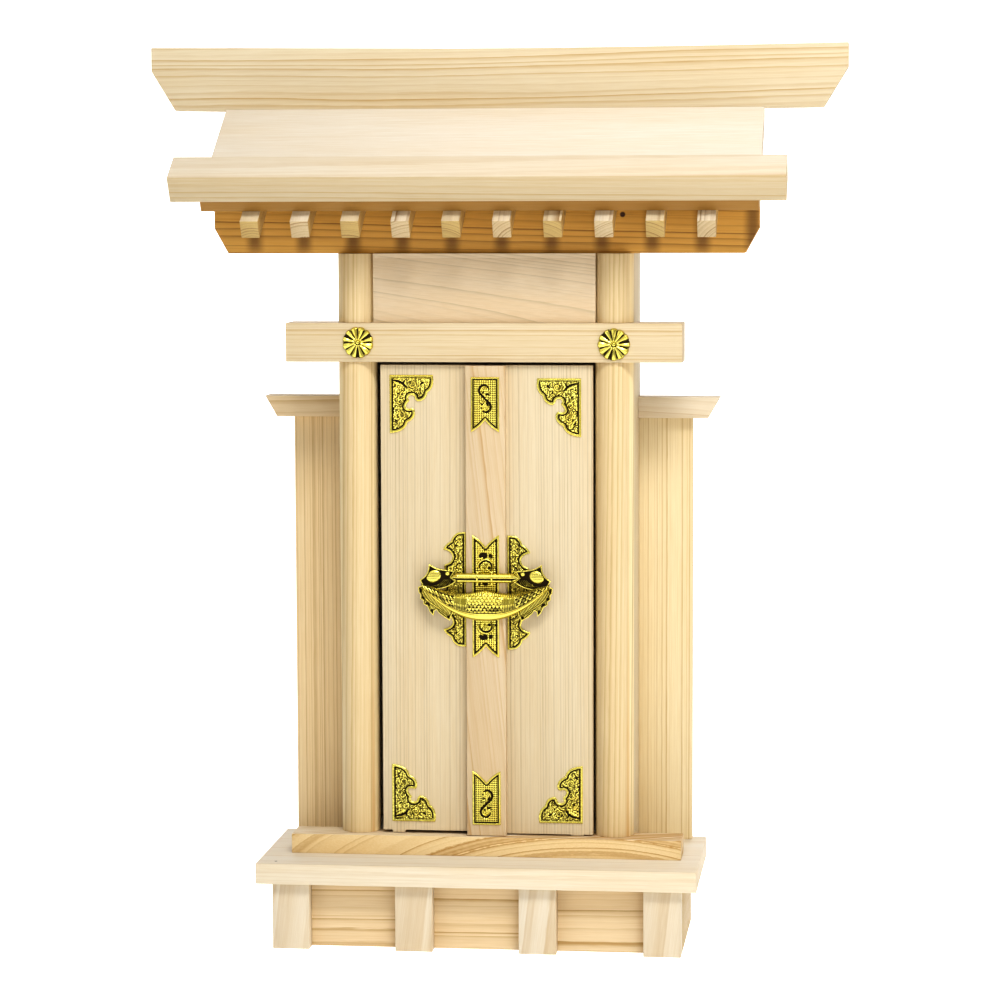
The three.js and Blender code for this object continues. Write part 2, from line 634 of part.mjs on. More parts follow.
function buildFittings() {
  for (const [corner, m] of Object.entries(cornerMargins)) {
    const z = m.end > 0 ? door.topZ - m.fromEnd : floorZ + door.gapRight + m.fromEnd;
    const face = m.side < 0 ? door.faceY + 0.2 : door.faceY;
    const { shape, reliefs } = cornerPlate([m.side * (door.outerX - m.fromOuter), z], -m.side, -m.end);
    place(`corner_plate_${corner}`, rimmedPlate(shape, face, reliefs), gilt());
  }

  const stripHalf = 7.6;
  const stripEnd = 6;
  const stripLength = 29.3;
  const top = batten.topZ - stripEnd;
  const bottom = floorZ + fitGap + stripEnd;
  place('strip_top', rimmedPlate(stripShape(stripHalf, top - stripLength, top, true, false), battenFrontY), gilt());
  place('strip_middle', rimmedPlate(stripShape(stripHalf - 0.4, 154.8, 220.8, true, true), battenFrontY), gilt());
  place('strip_bottom', rimmedPlate(stripShape(stripHalf, bottom, bottom + stripLength, false, true), battenFrontY), gilt());

  const sideGap = 0.6;
  const leftPlate = sidePlateShape(-batten.halfWidth - sideGap, 159.9, 221.8, -1);
  place('side_plate_left', rimmedPlate(leftPlate, door.faceY + 0.2), gilt());
  const rightPlate = sidePlateShape(batten.halfWidth + sideGap, 158.6, 220.2, 1);
  place('side_plate_right', rimmedPlate(rightPlate, door.faceY), gilt());
  place('shrimp_lock', lockGeometry(battenFrontY - plate.rim - seat), gilt());
}

assemble(off.base, buildBase);
assemble(off.sill, buildSill);
assemble(off.body, buildFrame);
assemble(off.body, buildWalls);
assemble(off.wings, buildWings);
assemble(off.tie, buildTie);
assemble(off.roof, buildRoof);
assemble(0, buildRidge);
assemble(off.doors, buildDoors);
assemble(off.doors, buildFittings);
assemble(off.rosettes, buildRosettes);

export default altar;
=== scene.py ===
# %% [markdown]
# # A household altar cabinet in pale cypress with pressed brass fittings
# The cabinet is plain joinery: planed boards, two round columns, ten rafters and a heavy
# ridge beam, all in one unfinished pale timber, taken to be cypress. The only ornament is on
# the doors and the tie beam, in what is taken to be thin pressed brass. The construction
# arrives as a fixed frame. This lesson gives each board eased edges and its own grain, and
# models the front of the brass in full relief.

# %% Load the frame
import json
import math

import bpy
import numpy as np
from mathutils import Matrix, Vector

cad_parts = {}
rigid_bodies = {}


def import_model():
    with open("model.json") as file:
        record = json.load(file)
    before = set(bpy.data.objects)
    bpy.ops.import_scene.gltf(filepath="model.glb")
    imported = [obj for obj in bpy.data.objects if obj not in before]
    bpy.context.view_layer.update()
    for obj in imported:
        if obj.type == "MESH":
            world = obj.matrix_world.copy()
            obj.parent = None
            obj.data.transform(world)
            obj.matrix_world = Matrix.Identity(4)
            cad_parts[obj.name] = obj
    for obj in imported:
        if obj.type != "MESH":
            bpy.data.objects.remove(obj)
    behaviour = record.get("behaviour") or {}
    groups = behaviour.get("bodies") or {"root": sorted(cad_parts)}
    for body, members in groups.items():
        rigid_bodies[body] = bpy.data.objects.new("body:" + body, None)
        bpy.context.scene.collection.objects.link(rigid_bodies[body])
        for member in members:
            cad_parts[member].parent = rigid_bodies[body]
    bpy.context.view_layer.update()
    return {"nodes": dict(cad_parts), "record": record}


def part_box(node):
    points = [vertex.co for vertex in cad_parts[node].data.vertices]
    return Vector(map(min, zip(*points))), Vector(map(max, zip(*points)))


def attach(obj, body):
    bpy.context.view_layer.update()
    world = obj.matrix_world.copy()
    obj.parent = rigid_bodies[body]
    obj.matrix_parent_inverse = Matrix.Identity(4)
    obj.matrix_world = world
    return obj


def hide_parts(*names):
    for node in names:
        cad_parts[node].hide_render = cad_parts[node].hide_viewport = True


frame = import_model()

MM = 0.001
nodes = frame["nodes"]
body_of_node = {
    node: body
    for body, members in frame["record"]["behaviour"]["bodies"].items()
    for node in members
}

# %% [markdown]
# ## The camera
# The cabinet is seen from a little above its middle and a little to its right, through a
# long lens, so that verticals stay nearly upright. A camera could be aimed with a Track To
# constraint. Plain numbers are chosen instead, because a turned matrix also carries a
# small roll.

# %% Camera
CAMERA_PLACE = Vector((0.21096, -1.7482, 0.40888))
CAMERA_YAW = 0.1168
CAMERA_PITCH = -0.0965
CAMERA_ROLL = -0.0036
camera_data = bpy.data.cameras.new("altar_camera")
camera_data.sensor_width = 36
camera_data.lens = 118.6
camera = bpy.data.objects.new("altar_camera", camera_data)
bpy.context.scene.collection.objects.link(camera)
turn = Matrix.Rotation(CAMERA_YAW, 4, "Z") @ Matrix.Rotation(math.pi / 2 + CAMERA_PITCH, 4, "X")
turn = turn @ Matrix.Rotation(CAMERA_ROLL, 4, "Z")
camera.matrix_world = Matrix.Translation(CAMERA_PLACE) @ turn
bpy.context.scene.camera = camera
print("camera", round((CAMERA_PLACE - Vector((0, 0, 0.24))).length, 3), "m from the cabinet")

# %% [markdown]
# ## Working by hand
# Operators act on whatever is selected, and the frame arrives with everything selected. A
# cabinet maker clears the bench before each piece, and so does this script: one helper
# deselects everything and takes up one object, another steps in and out of edit mode.

# %% Bench helpers
def take(piece):
    """Leaves only this object selected and active."""
    if bpy.context.object and bpy.context.object.mode != "OBJECT":
        bpy.ops.object.mode_set(mode="OBJECT")
    for other in bpy.context.scene.objects:
        other.select_set(other == piece)
    bpy.context.view_layer.objects.active = piece
    return piece


def clear_bench():
    """Deselects every object, so that a new primitive is the only one in hand."""
    for other in bpy.context.scene.objects:
        other.select_set(False)


def apply_modifier(piece, kind, **settings):
    """Adds one modifier with its settings and applies it."""
    take(piece)
    modifier = piece.modifiers.new(kind.lower(), kind)
    for name, value in settings.items():
        setattr(modifier, name, value)
    bpy.ops.object.modifier_apply(modifier=modifier.name)


def settle(piece):
    """Moves the object's place and turn into its mesh."""
    take(piece)
    bpy.ops.object.transform_apply(location=True, rotation=True, scale=True)


def smooth(piece, degrees=32):
    take(piece)
    bpy.ops.object.shade_smooth_by_angle(angle=math.radians(degrees))


# %% [markdown]
# ## Light and floor
# The cabinet stands in soft studio light from above and in front, slightly from the right.
# That light throws a soft shadow of the eave down over the beam below it. The shadow under
# each rafter is not thrown by these lamps: it is painted shadow in the beam's timber, further
# on. A sun lamp would cut hard edges, so large area lamps are used, with a pale floor that
# sweeps up behind as one sheet of paper. The air itself looks white, so that the view
# above the paper is no darker than the paper.

# %% Paper sweep
def plain_paper():
    paper = bpy.data.materials.new("studio_paper")
    paper.use_nodes = True
    shader = paper.node_tree.nodes["Principled BSDF"]
    shader.inputs["Base Color"].default_value = (0.86, 0.86, 0.86, 1)
    shader.inputs["Roughness"].default_value = 0.9
    shader.inputs["Specular IOR Level"].default_value = 0.1
    shader.inputs["Emission Color"].default_value = (1, 1, 1, 1)
    seen = paper.node_tree.nodes.new("ShaderNodeLightPath")
    glow = paper.node_tree.nodes.new("ShaderNodeMapRange")
    glow.inputs["To Min"].default_value = 0.85
    glow.inputs["To Max"].default_value = 0.22
    paper.node_tree.links.new(seen.outputs["Is Diffuse Ray"], glow.inputs["Value"])
    paper.node_tree.links.new(glow.outputs[0], shader.inputs["Emission Strength"])
    return paper


clear_bench()
bpy.ops.mesh.primitive_plane_add(size=8, location=(0, -1, 0))
sweep = bpy.context.object
sweep.name = "paper_sweep"
bpy.ops.object.mode_set(mode="EDIT")
bpy.ops.mesh.select_mode(type="EDGE")
bpy.ops.mesh.select_all(action="DESELECT")
bpy.ops.object.mode_set(mode="OBJECT")
for edge in sweep.data.edges:
    edge.select = all(sweep.data.vertices[v].co.y > 3 for v in edge.vertices)
bpy.ops.object.mode_set(mode="EDIT")
bpy.ops.mesh.extrude_region_move(TRANSFORM_OT_translate={"value": (0, 0, 4)})
bpy.ops.mesh.select_all(action="DESELECT")
bpy.ops.object.mode_set(mode="OBJECT")
for edge in sweep.data.edges:
    ends = [sweep.data.vertices[v].co for v in edge.vertices]
    edge.select = all(end.y > 3 and end.z < 0.1 for end in ends)
bpy.ops.object.mode_set(mode="EDIT")
bpy.ops.mesh.bevel(offset=1.2, segments=16, affect="EDGES")
bpy.ops.object.mode_set(mode="OBJECT")
settle(sweep)
smooth(sweep, 60)
sweep.data.materials.append(plain_paper())
print("paper sweep", len(sweep.data.polygons), "faces")

# %% Lamps
def soft_lamp(name, place, aim, size, watts):
    data = bpy.data.lights.new(name, "AREA")
    data.shape = "RECTANGLE"
    data.size, data.size_y = size
    data.energy = watts
    lamp = bpy.data.objects.new(name, data)
    bpy.context.scene.collection.objects.link(lamp)
    lamp.location = place
    lamp.rotation_euler = (Vector(aim) - Vector(place)).to_track_quat("-Z", "Y").to_euler()
    return lamp


MIDDLE = (0, 0, 0.24)
soft_lamp("overhead_softbox", (0.2, -0.1, 1.9), (0, -0.05, 0.3), (2.4, 1.6), 8.4)
soft_lamp("key_softbox", (0.45, -1.2, 1.75), MIDDLE, (1.1, 0.45), 18)
front_softbox = soft_lamp("front_softbox", (1.1, -2.9, 0.5), MIDDLE, (2.2, 1.4), 14)
front_softbox.visible_glossy = False
soft_lamp("left_softbox", (-1.6, -1.6, 0.5), MIDDLE, (0.9, 1.3), 3.2)
right_softbox = soft_lamp("right_softbox", (1.6, -0.9, 0.4), MIDDLE, (0.9, 1.2), 4)
right_softbox.visible_glossy = False
world = bpy.data.worlds.new("studio_air")
world.use_nodes = True
air = world.node_tree
seen = air.nodes.new("ShaderNodeLightPath")
upward = air.nodes.new("ShaderNodeSeparateXYZ")
air.links.new(air.nodes.new("ShaderNodeTexCoord").outputs["Generated"], upward.inputs[0])
ceiling_light = air.nodes.new("ShaderNodeMapRange")
ceiling_light.inputs["From Min"].default_value = 0.0
ceiling_light.inputs["From Max"].default_value = 0.75
ceiling_light.inputs["To Min"].default_value = 0.3
ceiling_light.inputs["To Max"].default_value = 1.1
air.links.new(upward.outputs["Z"], ceiling_light.inputs["Value"])
strength = air.nodes.new("ShaderNodeMix")
strength.inputs["A"].default_value = 0.1
air.links.new(seen.outputs["Is Glossy Ray"], strength.inputs["Factor"])
air.links.new(ceiling_light.outputs[0], strength.inputs["B"])
air.nodes["Background"].inputs["Color"].default_value = (1, 1, 1, 1)
white_room = air.nodes.new("ShaderNodeMix")
white_room.inputs["B"].default_value = 1.0
air.links.new(seen.outputs["Is Camera Ray"], white_room.inputs["Factor"])
air.links.new(strength.outputs[0], white_room.inputs["A"])
air.links.new(white_room.outputs[0], air.nodes["Background"].inputs["Strength"])
bpy.context.scene.world = world
bpy.context.scene.view_settings.view_transform = "Standard"
bpy.context.scene.view_settings.look = "High Contrast"

# %% [markdown]
# ## Cypress grain
# A tree grows one pale band and one thin amber line each year, as rings round its heart.
# A board shows whatever slice of those rings it was sawn through: straight fine lines when
# the heart is far off to the side, arches when it lies behind the face, arcs on the ends.
# A picture mapped on the faces could not agree at the corners, so the rings are computed
# in space, in millimetres, round a heart line that each board places for itself.

# %% Node helpers
def add(tree, kind, **settings):
    node = tree.nodes.new(kind)
    for name, value in settings.items():
        setattr(node, name, value)
    return node


def feed(tree, value, socket):
    """Sets a socket to a number, or links it to another node's output."""
    if isinstance(value, bpy.types.NodeSocket):
        tree.links.new(value, socket)
    else:
        socket.default_value = value


def calc(tree, operation, *values, clamp=False):
    node = add(tree, "ShaderNodeMath", operation=operation, use_clamp=clamp)
    for value, socket in zip(values, node.inputs):
        feed(tree, value, socket)
    return node.outputs[0]


def vector_calc(tree, operation, *values):
    node = add(tree, "ShaderNodeVectorMath", operation=operation)
    for value, socket in zip(values, node.inputs):
        feed(tree, value, socket)
    return node.outputs["Value"] if operation in ("LENGTH", "DISTANCE", "DOT_PRODUCT") else node.outputs[0]


def blend_colour(tree, share, first, second, mode="MIX"):
    node = add(tree, "ShaderNodeMix", data_type="RGBA", blend_type=mode)
    feed(tree, share, node.inputs[0])
    feed(tree, first, node.inputs[6])
    feed(tree, second, node.inputs[7])
    return node.outputs[2]


def spread(tree, value, low, high, to_low=0.0, to_high=1.0):
    """Maps low..high to another range, held at its ends."""
    node = add(tree, "ShaderNodeMapRange", interpolation_type="SMOOTHSTEP")
    for socket, number in zip(node.inputs[:5], (value, low, high, to_low, to_high)):
        feed(tree, number, socket)
    return node.outputs[0]


def noise(tree, vector, scale, detail=2.0, seed=0.0, roughness=0.5):
    node = add(tree, "ShaderNodeTexNoise", noise_dimensions="4D")
    feed(tree, vector, node.inputs["Vector"])
    feed(tree, seed, node.inputs["W"])
    node.inputs["Scale"].default_value = scale
    node.inputs["Detail"].default_value = detail
    node.inputs["Roughness"].default_value = roughness
    return node


def open_group(name, inputs, outputs):
    """A new node group with named sockets; inputs and outputs are {name: socket kind}."""
    tree = bpy.data.node_groups.new(name, "ShaderNodeTree")
    for label, (kind, default) in inputs.items():
        socket = tree.interface.new_socket(label, in_out="INPUT", socket_type=kind)
        if default is not None:
            socket.default_value = default
    for label, kind in outputs.items():
        tree.interface.new_socket(label, in_out="OUTPUT", socket_type=kind)
    return tree, add(tree, "NodeGroupInput").outputs, add(tree, "NodeGroupOutput").inputs


# %% Ring group
def build_ring_group():
    """Growth rings round the Z axis of the incoming position, which is in millimetres."""
    number = "NodeSocketFloat"
    tree, given, result = open_group(
        "cypress_rings",
        {
            "Position": ("NodeSocketVector", None),
            "Ring Width": (number, 2.0),
            "Wander": (number, 2.0),
            "Heartwood": (number, 0.0),
            "Seed": (number, 0.0),
        },
        {"Late Line": number, "Fibre": number, "Tone": number, "Heart": number},
    )
    along = vector_calc(tree, "MULTIPLY", given["Position"], (1, 1, 0.12))
    drift = noise(tree, along, 0.022, 2.0, given["Seed"]).outputs["Color"]
    drift = vector_calc(tree, "SUBTRACT", drift, (0.5, 0.5, 0.5))
    drift = vector_calc(tree, "SCALE", drift)
    feed(tree, calc(tree, "MULTIPLY", given["Wander"], 2.0), drift.node.inputs["Scale"])
    bent = vector_calc(tree, "ADD", given["Position"], drift)
    radius = vector_calc(tree, "LENGTH", vector_calc(tree, "MULTIPLY", bent, (1, 1, 0)))

    lively = add(tree, "ShaderNodeTexNoise", noise_dimensions="1D")
    feed(tree, calc(tree, "MULTIPLY_ADD", radius, 0.17, given["Seed"]), lively.inputs["W"])
    lively.inputs["Scale"].default_value = 1.0
    uneven = calc(tree, "MULTIPLY", calc(tree, "SUBTRACT", lively.outputs[0], 0.5), 2.2)
    ragged = noise(tree, vector_calc(tree, "MULTIPLY", given["Position"], (1, 1, 0.07)), 0.9, 2.0)
    ragged = calc(tree, "MULTIPLY", calc(tree, "SUBTRACT", ragged.outputs[0], 0.5), 0.22)
    years = calc(tree, "DIVIDE", radius, given["Ring Width"])
    years = calc(tree, "ADD", calc(tree, "ADD", years, uneven), ragged)

    season = add(tree, "ShaderNodeValToRGB")
    ramp = season.color_ramp
    ramp.interpolation = "B_SPLINE"
    ramp.elements[0].position = 0.0
    ramp.elements[0].color = (0, 0, 0, 1)
    ramp.elements[1].position = 1.0
    ramp.elements[1].color = (0, 0, 0, 1)
    for place, level in ((0.35, 0.02), (0.62, 0.22), (0.8, 0.62), (0.9, 1.0), (0.955, 0.9)):
        ramp.elements.new(place).color = (level, level, level, 1)
    feed(tree, calc(tree, "FRACT", years), season.inputs[0])
    year = add(tree, "ShaderNodeTexWhiteNoise", noise_dimensions="1D")
    feed(tree, calc(tree, "ADD", calc(tree, "FLOOR", years), given["Seed"]), year.inputs["W"])
    vigour = spread(tree, year.outputs[0], 0.0, 1.0, 0.15, 1.0)
    feed(tree, calc(tree, "MULTIPLY", season.outputs[0], vigour), result["Late Line"])

    streaks = vector_calc(tree, "MULTIPLY", given["Position"], (1, 1, 0.02))
    fibre = noise(tree, streaks, 2.4, 3.0, given["Seed"], 0.6)
    feed(tree, spread(tree, fibre.outputs[0], 0.3, 0.7), result["Fibre"])
    drawn_out = vector_calc(tree, "MULTIPLY", given["Position"], (1, 1, 0.1))
    tone = noise(tree, drawn_out, 0.05, 2.0, given["Seed"])
    feed(tree, spread(tree, tone.outputs[0], 0.3, 0.7), result["Tone"])
    edge = calc(tree, "SUBTRACT", given["Heartwood"], radius)
    feed(tree, spread(tree, edge, -1.2, 1.2), result["Heart"])
    return tree


ring_group = build_ring_group()
print("ring group", len(ring_group.nodes), "nodes")

# %% [markdown]
# ## Boards sawn from the log
# Every board has its own heart line: a point that it passes through and a direction close
# to the board's length. The mapping turns that line upright before the rings are read. The
# rest is timber colour: pale sapwood, warmer heartwood, amber late lines, fine fibre, and
# end grain that drinks light because its cells are open tubes. Some of these colours make up
# for the lamps, so they are tuned to the front view and are not the timber's own colour:
# faces that look up carry a painted sheen, some side faces carry painted light or shade, and
# the front beam carries a painted shadow under each rafter.

# %% Cypress material
def turn_upright(direction):
    """Euler angles that turn this direction onto +Z."""
    return Vector(direction).normalized().rotation_difference(Vector((0, 0, 1))).to_euler("XYZ")


# The painted shadow under each rafter is centred 4 mm to the left of the rafter's middle.
RAFTER_SHADOW_ASIDE = 4.0
RAFTER_START = (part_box("rafter_01")[0][0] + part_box("rafter_01")[1][0]) / 2 / MM - RAFTER_SHADOW_ASIDE
RAFTER_PITCH = (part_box("rafter_10")[0][0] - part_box("rafter_01")[0][0]) / 9 / MM
BEAM_LOW, BEAM_HIGH = (np.array(corner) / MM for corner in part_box("front_beam"))
DECK_LOW, DECK_HIGH = (np.array(corner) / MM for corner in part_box("deck"))
SAPWOOD = (0.70, 0.61, 0.445)
CREAM = (0.735, 0.665, 0.545)
HONEY = (0.76, 0.62, 0.42)
HEARTWOOD = (0.64, 0.43, 0.2)
LATE_LINE = (0.5, 0.33, 0.13)
GREY_LINE = (0.46, 0.37, 0.24)
# Colour of the painted shadow under each rafter.
RAFTER_SHADOW_PAINT = (0.09, 0.035, 0.006)
KNOT = (0.045, 0.02, 0.008)
# Paler cream for faces that look up: a painted sheen, not a colour of the wood.
PAINTED_TOP_SHEEN = (0.76, 0.71, 0.64)


def along_beam(share, up):
    """A place on the front of the beam: its share of the length and height above the bottom."""
    return (BEAM_LOW[0] + share * (BEAM_HIGH[0] - BEAM_LOW[0]), BEAM_LOW[1], BEAM_LOW[2] + up)


def under_rafters(tree, place, high, low):
    """1 in a patch of painted shadow under each rafter, fading from height high to height low, in mm."""
    parts = add(tree, "ShaderNodeSeparateXYZ")
    feed(tree, place, parts.inputs[0])
    from_first = calc(tree, "SUBTRACT", parts.outputs["X"], RAFTER_START * MM)
    steps = calc(tree, "DIVIDE", from_first, RAFTER_PITCH * MM)
    beside = calc(tree, "ABSOLUTE", calc(tree, "SUBTRACT", steps, calc(tree, "ROUND", steps)))
    near = spread(tree, beside, 0.02, 0.24, 1.0, 0.0)
    return calc(tree, "MULTIPLY", near, spread(tree, parts.outputs["Z"], low * MM, high * MM))


def cypress(name, along, heart, ring=2.0, wander=2.0, line=0.5, seed=0.0,
            sap=SAPWOOD, amber=LATE_LINE, core_radius=0.0, edge=None, painted_rafter_shadow=None, spots=()):
    """Timber whose heart runs in direction along through the point heart, in millimetres."""
    timber = bpy.data.materials.new(name)
    timber.use_nodes = True
    tree = timber.node_tree
    shader = tree.nodes["Principled BSDF"]
    place = add(tree, "ShaderNodeTexCoord")
    mapping = add(tree, "ShaderNodeMapping")
    turned = turn_upright(along)
    mapping.inputs["Scale"].default_value = (1 / MM, 1 / MM, 1 / MM)
    mapping.inputs["Rotation"].default_value = turned
    mapping.inputs["Location"].default_value = -(turned.to_matrix() @ Vector(heart))
    feed(tree, place.outputs["Object"], mapping.inputs["Vector"])
    rings = add(tree, "ShaderNodeGroup", node_tree=ring_group)
    feed(tree, mapping.outputs[0], rings.inputs["Position"])
    rings.inputs["Ring Width"].default_value = ring
    rings.inputs["Wander"].default_value = wander
    rings.inputs["Heartwood"].default_value = core_radius
    rings.inputs["Seed"].default_value = seed

    colour = blend_colour(tree, rings.outputs["Heart"], (*sap, 1), (*HEARTWOOD, 1))
    facing = add(tree, "ShaderNodeSeparateXYZ")
    feed(tree, place.outputs["Normal"], facing.inputs[0])
    # Painted sheen: faces that look up are mixed towards a paler cream, standing in for the brighter light
    # and sheen on them.
    upward = calc(tree, "MULTIPLY", spread(tree, facing.outputs["Z"], 0.5, 0.8), 0.55)
    colour = blend_colour(tree, upward, colour, (*PAINTED_TOP_SHEEN, 1))
    # Painted light and shade: faces turned along the given direction are mixed towards the given colour,
    # lighter on the columns' sides, darker on the rafters' sides and the roof slab's edges.
    if edge:
        direction, painted_side_colour = edge
        turned = vector_calc(tree, "DOT_PRODUCT", place.outputs["Normal"], Vector(direction))
        turned = spread(tree, calc(tree, "ABSOLUTE", turned), 0.7, 0.85)
        colour = blend_colour(tree, turned, colour, (*painted_side_colour, 1))
    # Painted shadow of each rafter, on the faces of the beam that look forward.
    if painted_rafter_shadow:
        shade = under_rafters(tree, place.outputs["Object"], *painted_rafter_shadow)
        shade = calc(tree, "MULTIPLY", shade, spread(tree, facing.outputs["Y"], -0.6, -0.8, 0.0, 0.7))
        colour = blend_colour(tree, shade, colour, (*RAFTER_SHADOW_PAINT, 1))
    for middle, radius in spots:
        away = vector_calc(tree, "DISTANCE", place.outputs["Object"], Vector(middle) * MM)
        dot = spread(tree, away, 0.7 * radius * MM, 1.15 * radius * MM, 1.0, 0.0)
        colour = blend_colour(tree, dot, colour, (*KNOT, 1))
    dusk = calc(tree, "MULTIPLY", rings.outputs["Tone"], 0.5)
    colour = blend_colour(tree, dusk, colour, (0.95, 0.87, 0.74, 1), "MULTIPLY")
    late = calc(tree, "MULTIPLY", rings.outputs["Late Line"], line)
    colour = blend_colour(tree, late, colour, (*amber, 1))
    fine = calc(tree, "MULTIPLY", rings.outputs["Fibre"], 0.45)
    colour = blend_colour(tree, fine, colour, (0.88, 0.81, 0.68, 1), "MULTIPLY")
    upright = vector_calc(tree, "DOT_PRODUCT", place.outputs["Normal"], Vector(along).normalized())
    end_grain = spread(tree, calc(tree, "ABSOLUTE", upright), 0.7, 0.95)
    drink = calc(tree, "MULTIPLY", end_grain, 0.5)
    colour = blend_colour(tree, drink, colour, (0.84, 0.76, 0.66, 1), "MULTIPLY")
    feed(tree, colour, shader.inputs["Base Color"])
    feed(tree, spread(tree, rings.outputs["Fibre"], 0, 1, 0.5, 0.62), shader.inputs["Roughness"])
    shader.inputs["Specular IOR Level"].default_value = 0.35

    bump = add(tree, "ShaderNodeBump")
    bump.inputs["Strength"].default_value = 0.35
    bump.inputs["Distance"].default_value = 0.0001
    pores = calc(tree, "MULTIPLY", rings.outputs["Fibre"], 0.6)
    height = calc(tree, "SUBTRACT", rings.outputs["Late Line"], pores)
    feed(tree, height, bump.inputs["Height"])
    feed(tree, bump.outputs[0], shader.inputs["Normal"])
    return timber


# %% Timber for every board
X_WAY, Y_WAY, Z_WAY = (1, 0, 0), (0, 1, 0), (0, 0, 1)
SLOPE = math.radians(32)
UP_SLOPE = (0, math.cos(SLOPE), math.sin(SLOPE))
timber = {
    "ridge_beam": cypress("ridge_timber", (1, 0, 0.012), (0, 80, 432), 2.0, 6.0, 1.0, 1.0),
    "eave_board": cypress("eave_timber", (1, 0, -0.012), (0, 30, 360), 2.4, 3.0, 0.8, 2.0,
                          sap=(0.64, 0.545, 0.38)),
    # The roof slab's two edge faces along its slope are painted darker, as painted shade meant for its lower
    # front edge under the eave.
    "roof_slab": cypress("slab_timber", (1, 0, 0.01), (0, -10, 250), 3.5, 5.0, 0.14, 3.0, sap=CREAM,
                         edge=((0, 0.848, 0.53), (0.4, 0.235, 0.07))),
    # The front beam carries a painted shadow under each rafter, between heights 377 and 366 mm.
    "front_beam": cypress("front_beam_timber", (1, 0, -0.02), (0, 34, 318), 2.2, 5.0, 1.0, 4.0,
                          sap=(0.62, 0.36, 0.09), amber=(0.16, 0.06, 0.01), painted_rafter_shadow=(377, 366),
                          spots=[(along_beam(0.7525, 20.4), 1.5)]),
    "transom_panel": cypress("transom_timber", (1, 0.05, -0.05), (0, 60, 320), 1.2, 3.0, 0.6, 5.0,
                             sap=(0.72, 0.6, 0.44), amber=GREY_LINE),
    "tie_beam": cypress("tie_beam_timber", X_WAY, (0, 20, 260), 2.0, 1.0, 0.85, 6.0),
    "deck": cypress("deck_timber", X_WAY, (0, 20, -60), 2.6, 2.0, 0.35, 7.0, sap=(0.8, 0.73, 0.6),
                    spots=[((DECK_LOW[0] + 10, DECK_LOW[1] + 7, DECK_HIGH[2]), 0.8)]),
    "sill": cypress("sill_timber", (1, 0.38, 0), (65, -10, 25), 3.6, 3.0, 1.0, 8.0, sap=(0.82, 0.66, 0.4),
                    amber=(0.46, 0.26, 0.07)),
    "door_batten": cypress("batten_timber", (-0.11, 0, 1), (-48, 10, 190), 3.4, 3.0, 0.8, 9.0,
                           sap=(0.66, 0.54, 0.375), amber=(0.5, 0.3, 0.12)),
    "door_left": cypress("left_door_timber", (0.004, 0, 1), (-160, 30, 0), 1.55, 1.0, 0.8, 10.0,
                         amber=GREY_LINE),
    "door_right": cypress("right_door_timber", (-0.004, 0, 1), (150, 30, 0), 1.5, 1.0, 0.8, 11.0,
                          amber=GREY_LINE),
    # The left wing has a paler sapwood than the right: painted light that makes up for the shade of the left
    # column on it.
    "wing_left": cypress("left_wing_timber", Z_WAY, (40, 60, 0), 1.9, 0.6, 0.8, 12.0, sap=(0.86, 0.71, 0.47)),
    "wing_right": cypress("right_wing_timber", Z_WAY, (-60, 60, 0), 1.6, 0.6, 0.75, 13.0,
                          sap=(0.79, 0.68, 0.46)),
    "wing_cap_left": cypress("left_cap_timber", (1, 0, 0.03), (0, 60, 250), 4.0, 3.0, 0.6, 14.0, sap=HONEY),
    "wing_cap_right": cypress("right_cap_timber", (1, 0, -0.06), (0, 60, 250), 4.0, 3.0, 0.6, 15.0,
                              sap=CREAM),
}
for side, sign in (("left", -1), ("right", 1)):
    for part in ("lower", "upper"):
        # The columns' side faces are painted lighter: painted light that makes up for the shade beside the
        # doors.
        timber[f"column_{side}_{part}"] = cypress(
            f"{side}_{part}_column_timber", (0.01, 0, 1), (sign * 69 + 24, 6, 100), 2.1, 1.2, 0.85,
            16.0 + sign, sap=(0.74, 0.61, 0.39), amber=(0.5, 0.35, 0.14),
            core_radius=22, edge=(X_WAY, (0.88, 0.76, 0.5)))
    # The base sides get a darker sapwood: painted shade that makes up for the light of the right lamp on
    # them.
    timber[f"base_side_{side}"] = cypress(
        f"{side}_base_timber", Y_WAY, (sign * 60, 0, -20), 2.6, 1.0, 0.6, 18.0, sap=(0.56, 0.43, 0.24))
    timber[f"side_wall_{side}"] = cypress(
        f"{side}_wall_timber", Z_WAY, (0, sign * 120, 0), 2.0, 1.0, 0.4, 19.0)
for i in range(4):
    timber[f"base_post_{i + 1}"] = cypress(
        f"post_{i + 1}_timber", (0.12, 0, 1), (-100 + 66 * i + (-1) ** i * 22, 10, 0),
        6.0, 2.0, 0.6, 20.0 + i, sap=CREAM)
for i in range(3):
    timber[f"base_rail_{i + 1}"] = cypress(
        f"rail_{i + 1}_timber", (1, 0, 0.01), (0, 40, -60), 3.0, 1.5, 1.0, 24.0 + i, sap=HONEY,
        amber=(0.44, 0.28, 0.1))
for i in range(10):
    # The rafters' side faces are painted darker: painted shade between the rafters.
    timber[f"rafter_{i + 1:02d}"] = cypress(
        f"rafter_{i + 1:02d}_timber", UP_SLOPE,
        (-120 + 26.7 * i + 14 * math.sin(3 * i), -10 - 12 * math.cos(5 * i), 380),
        1.7, 1.0, 1.0, 30.0 + i, sap=(0.68, 0.58, 0.4) if i % 2 else (0.6, 0.47, 0.22),
        amber=(0.3, 0.18, 0.07), edge=(X_WAY, (0.5, 0.34, 0.14)))
plain_boards = ["back_panel", "base_back", "ceiling", "inner_floor", "roof_back_board"]
for i, board in enumerate(plain_boards):
    timber[board] = cypress(f"{board}_timber", X_WAY, (0, 20, 120 - 60 * i), 2.6, 2.5, 0.4, 50.0 + i)
print(len(timber), "timbers")

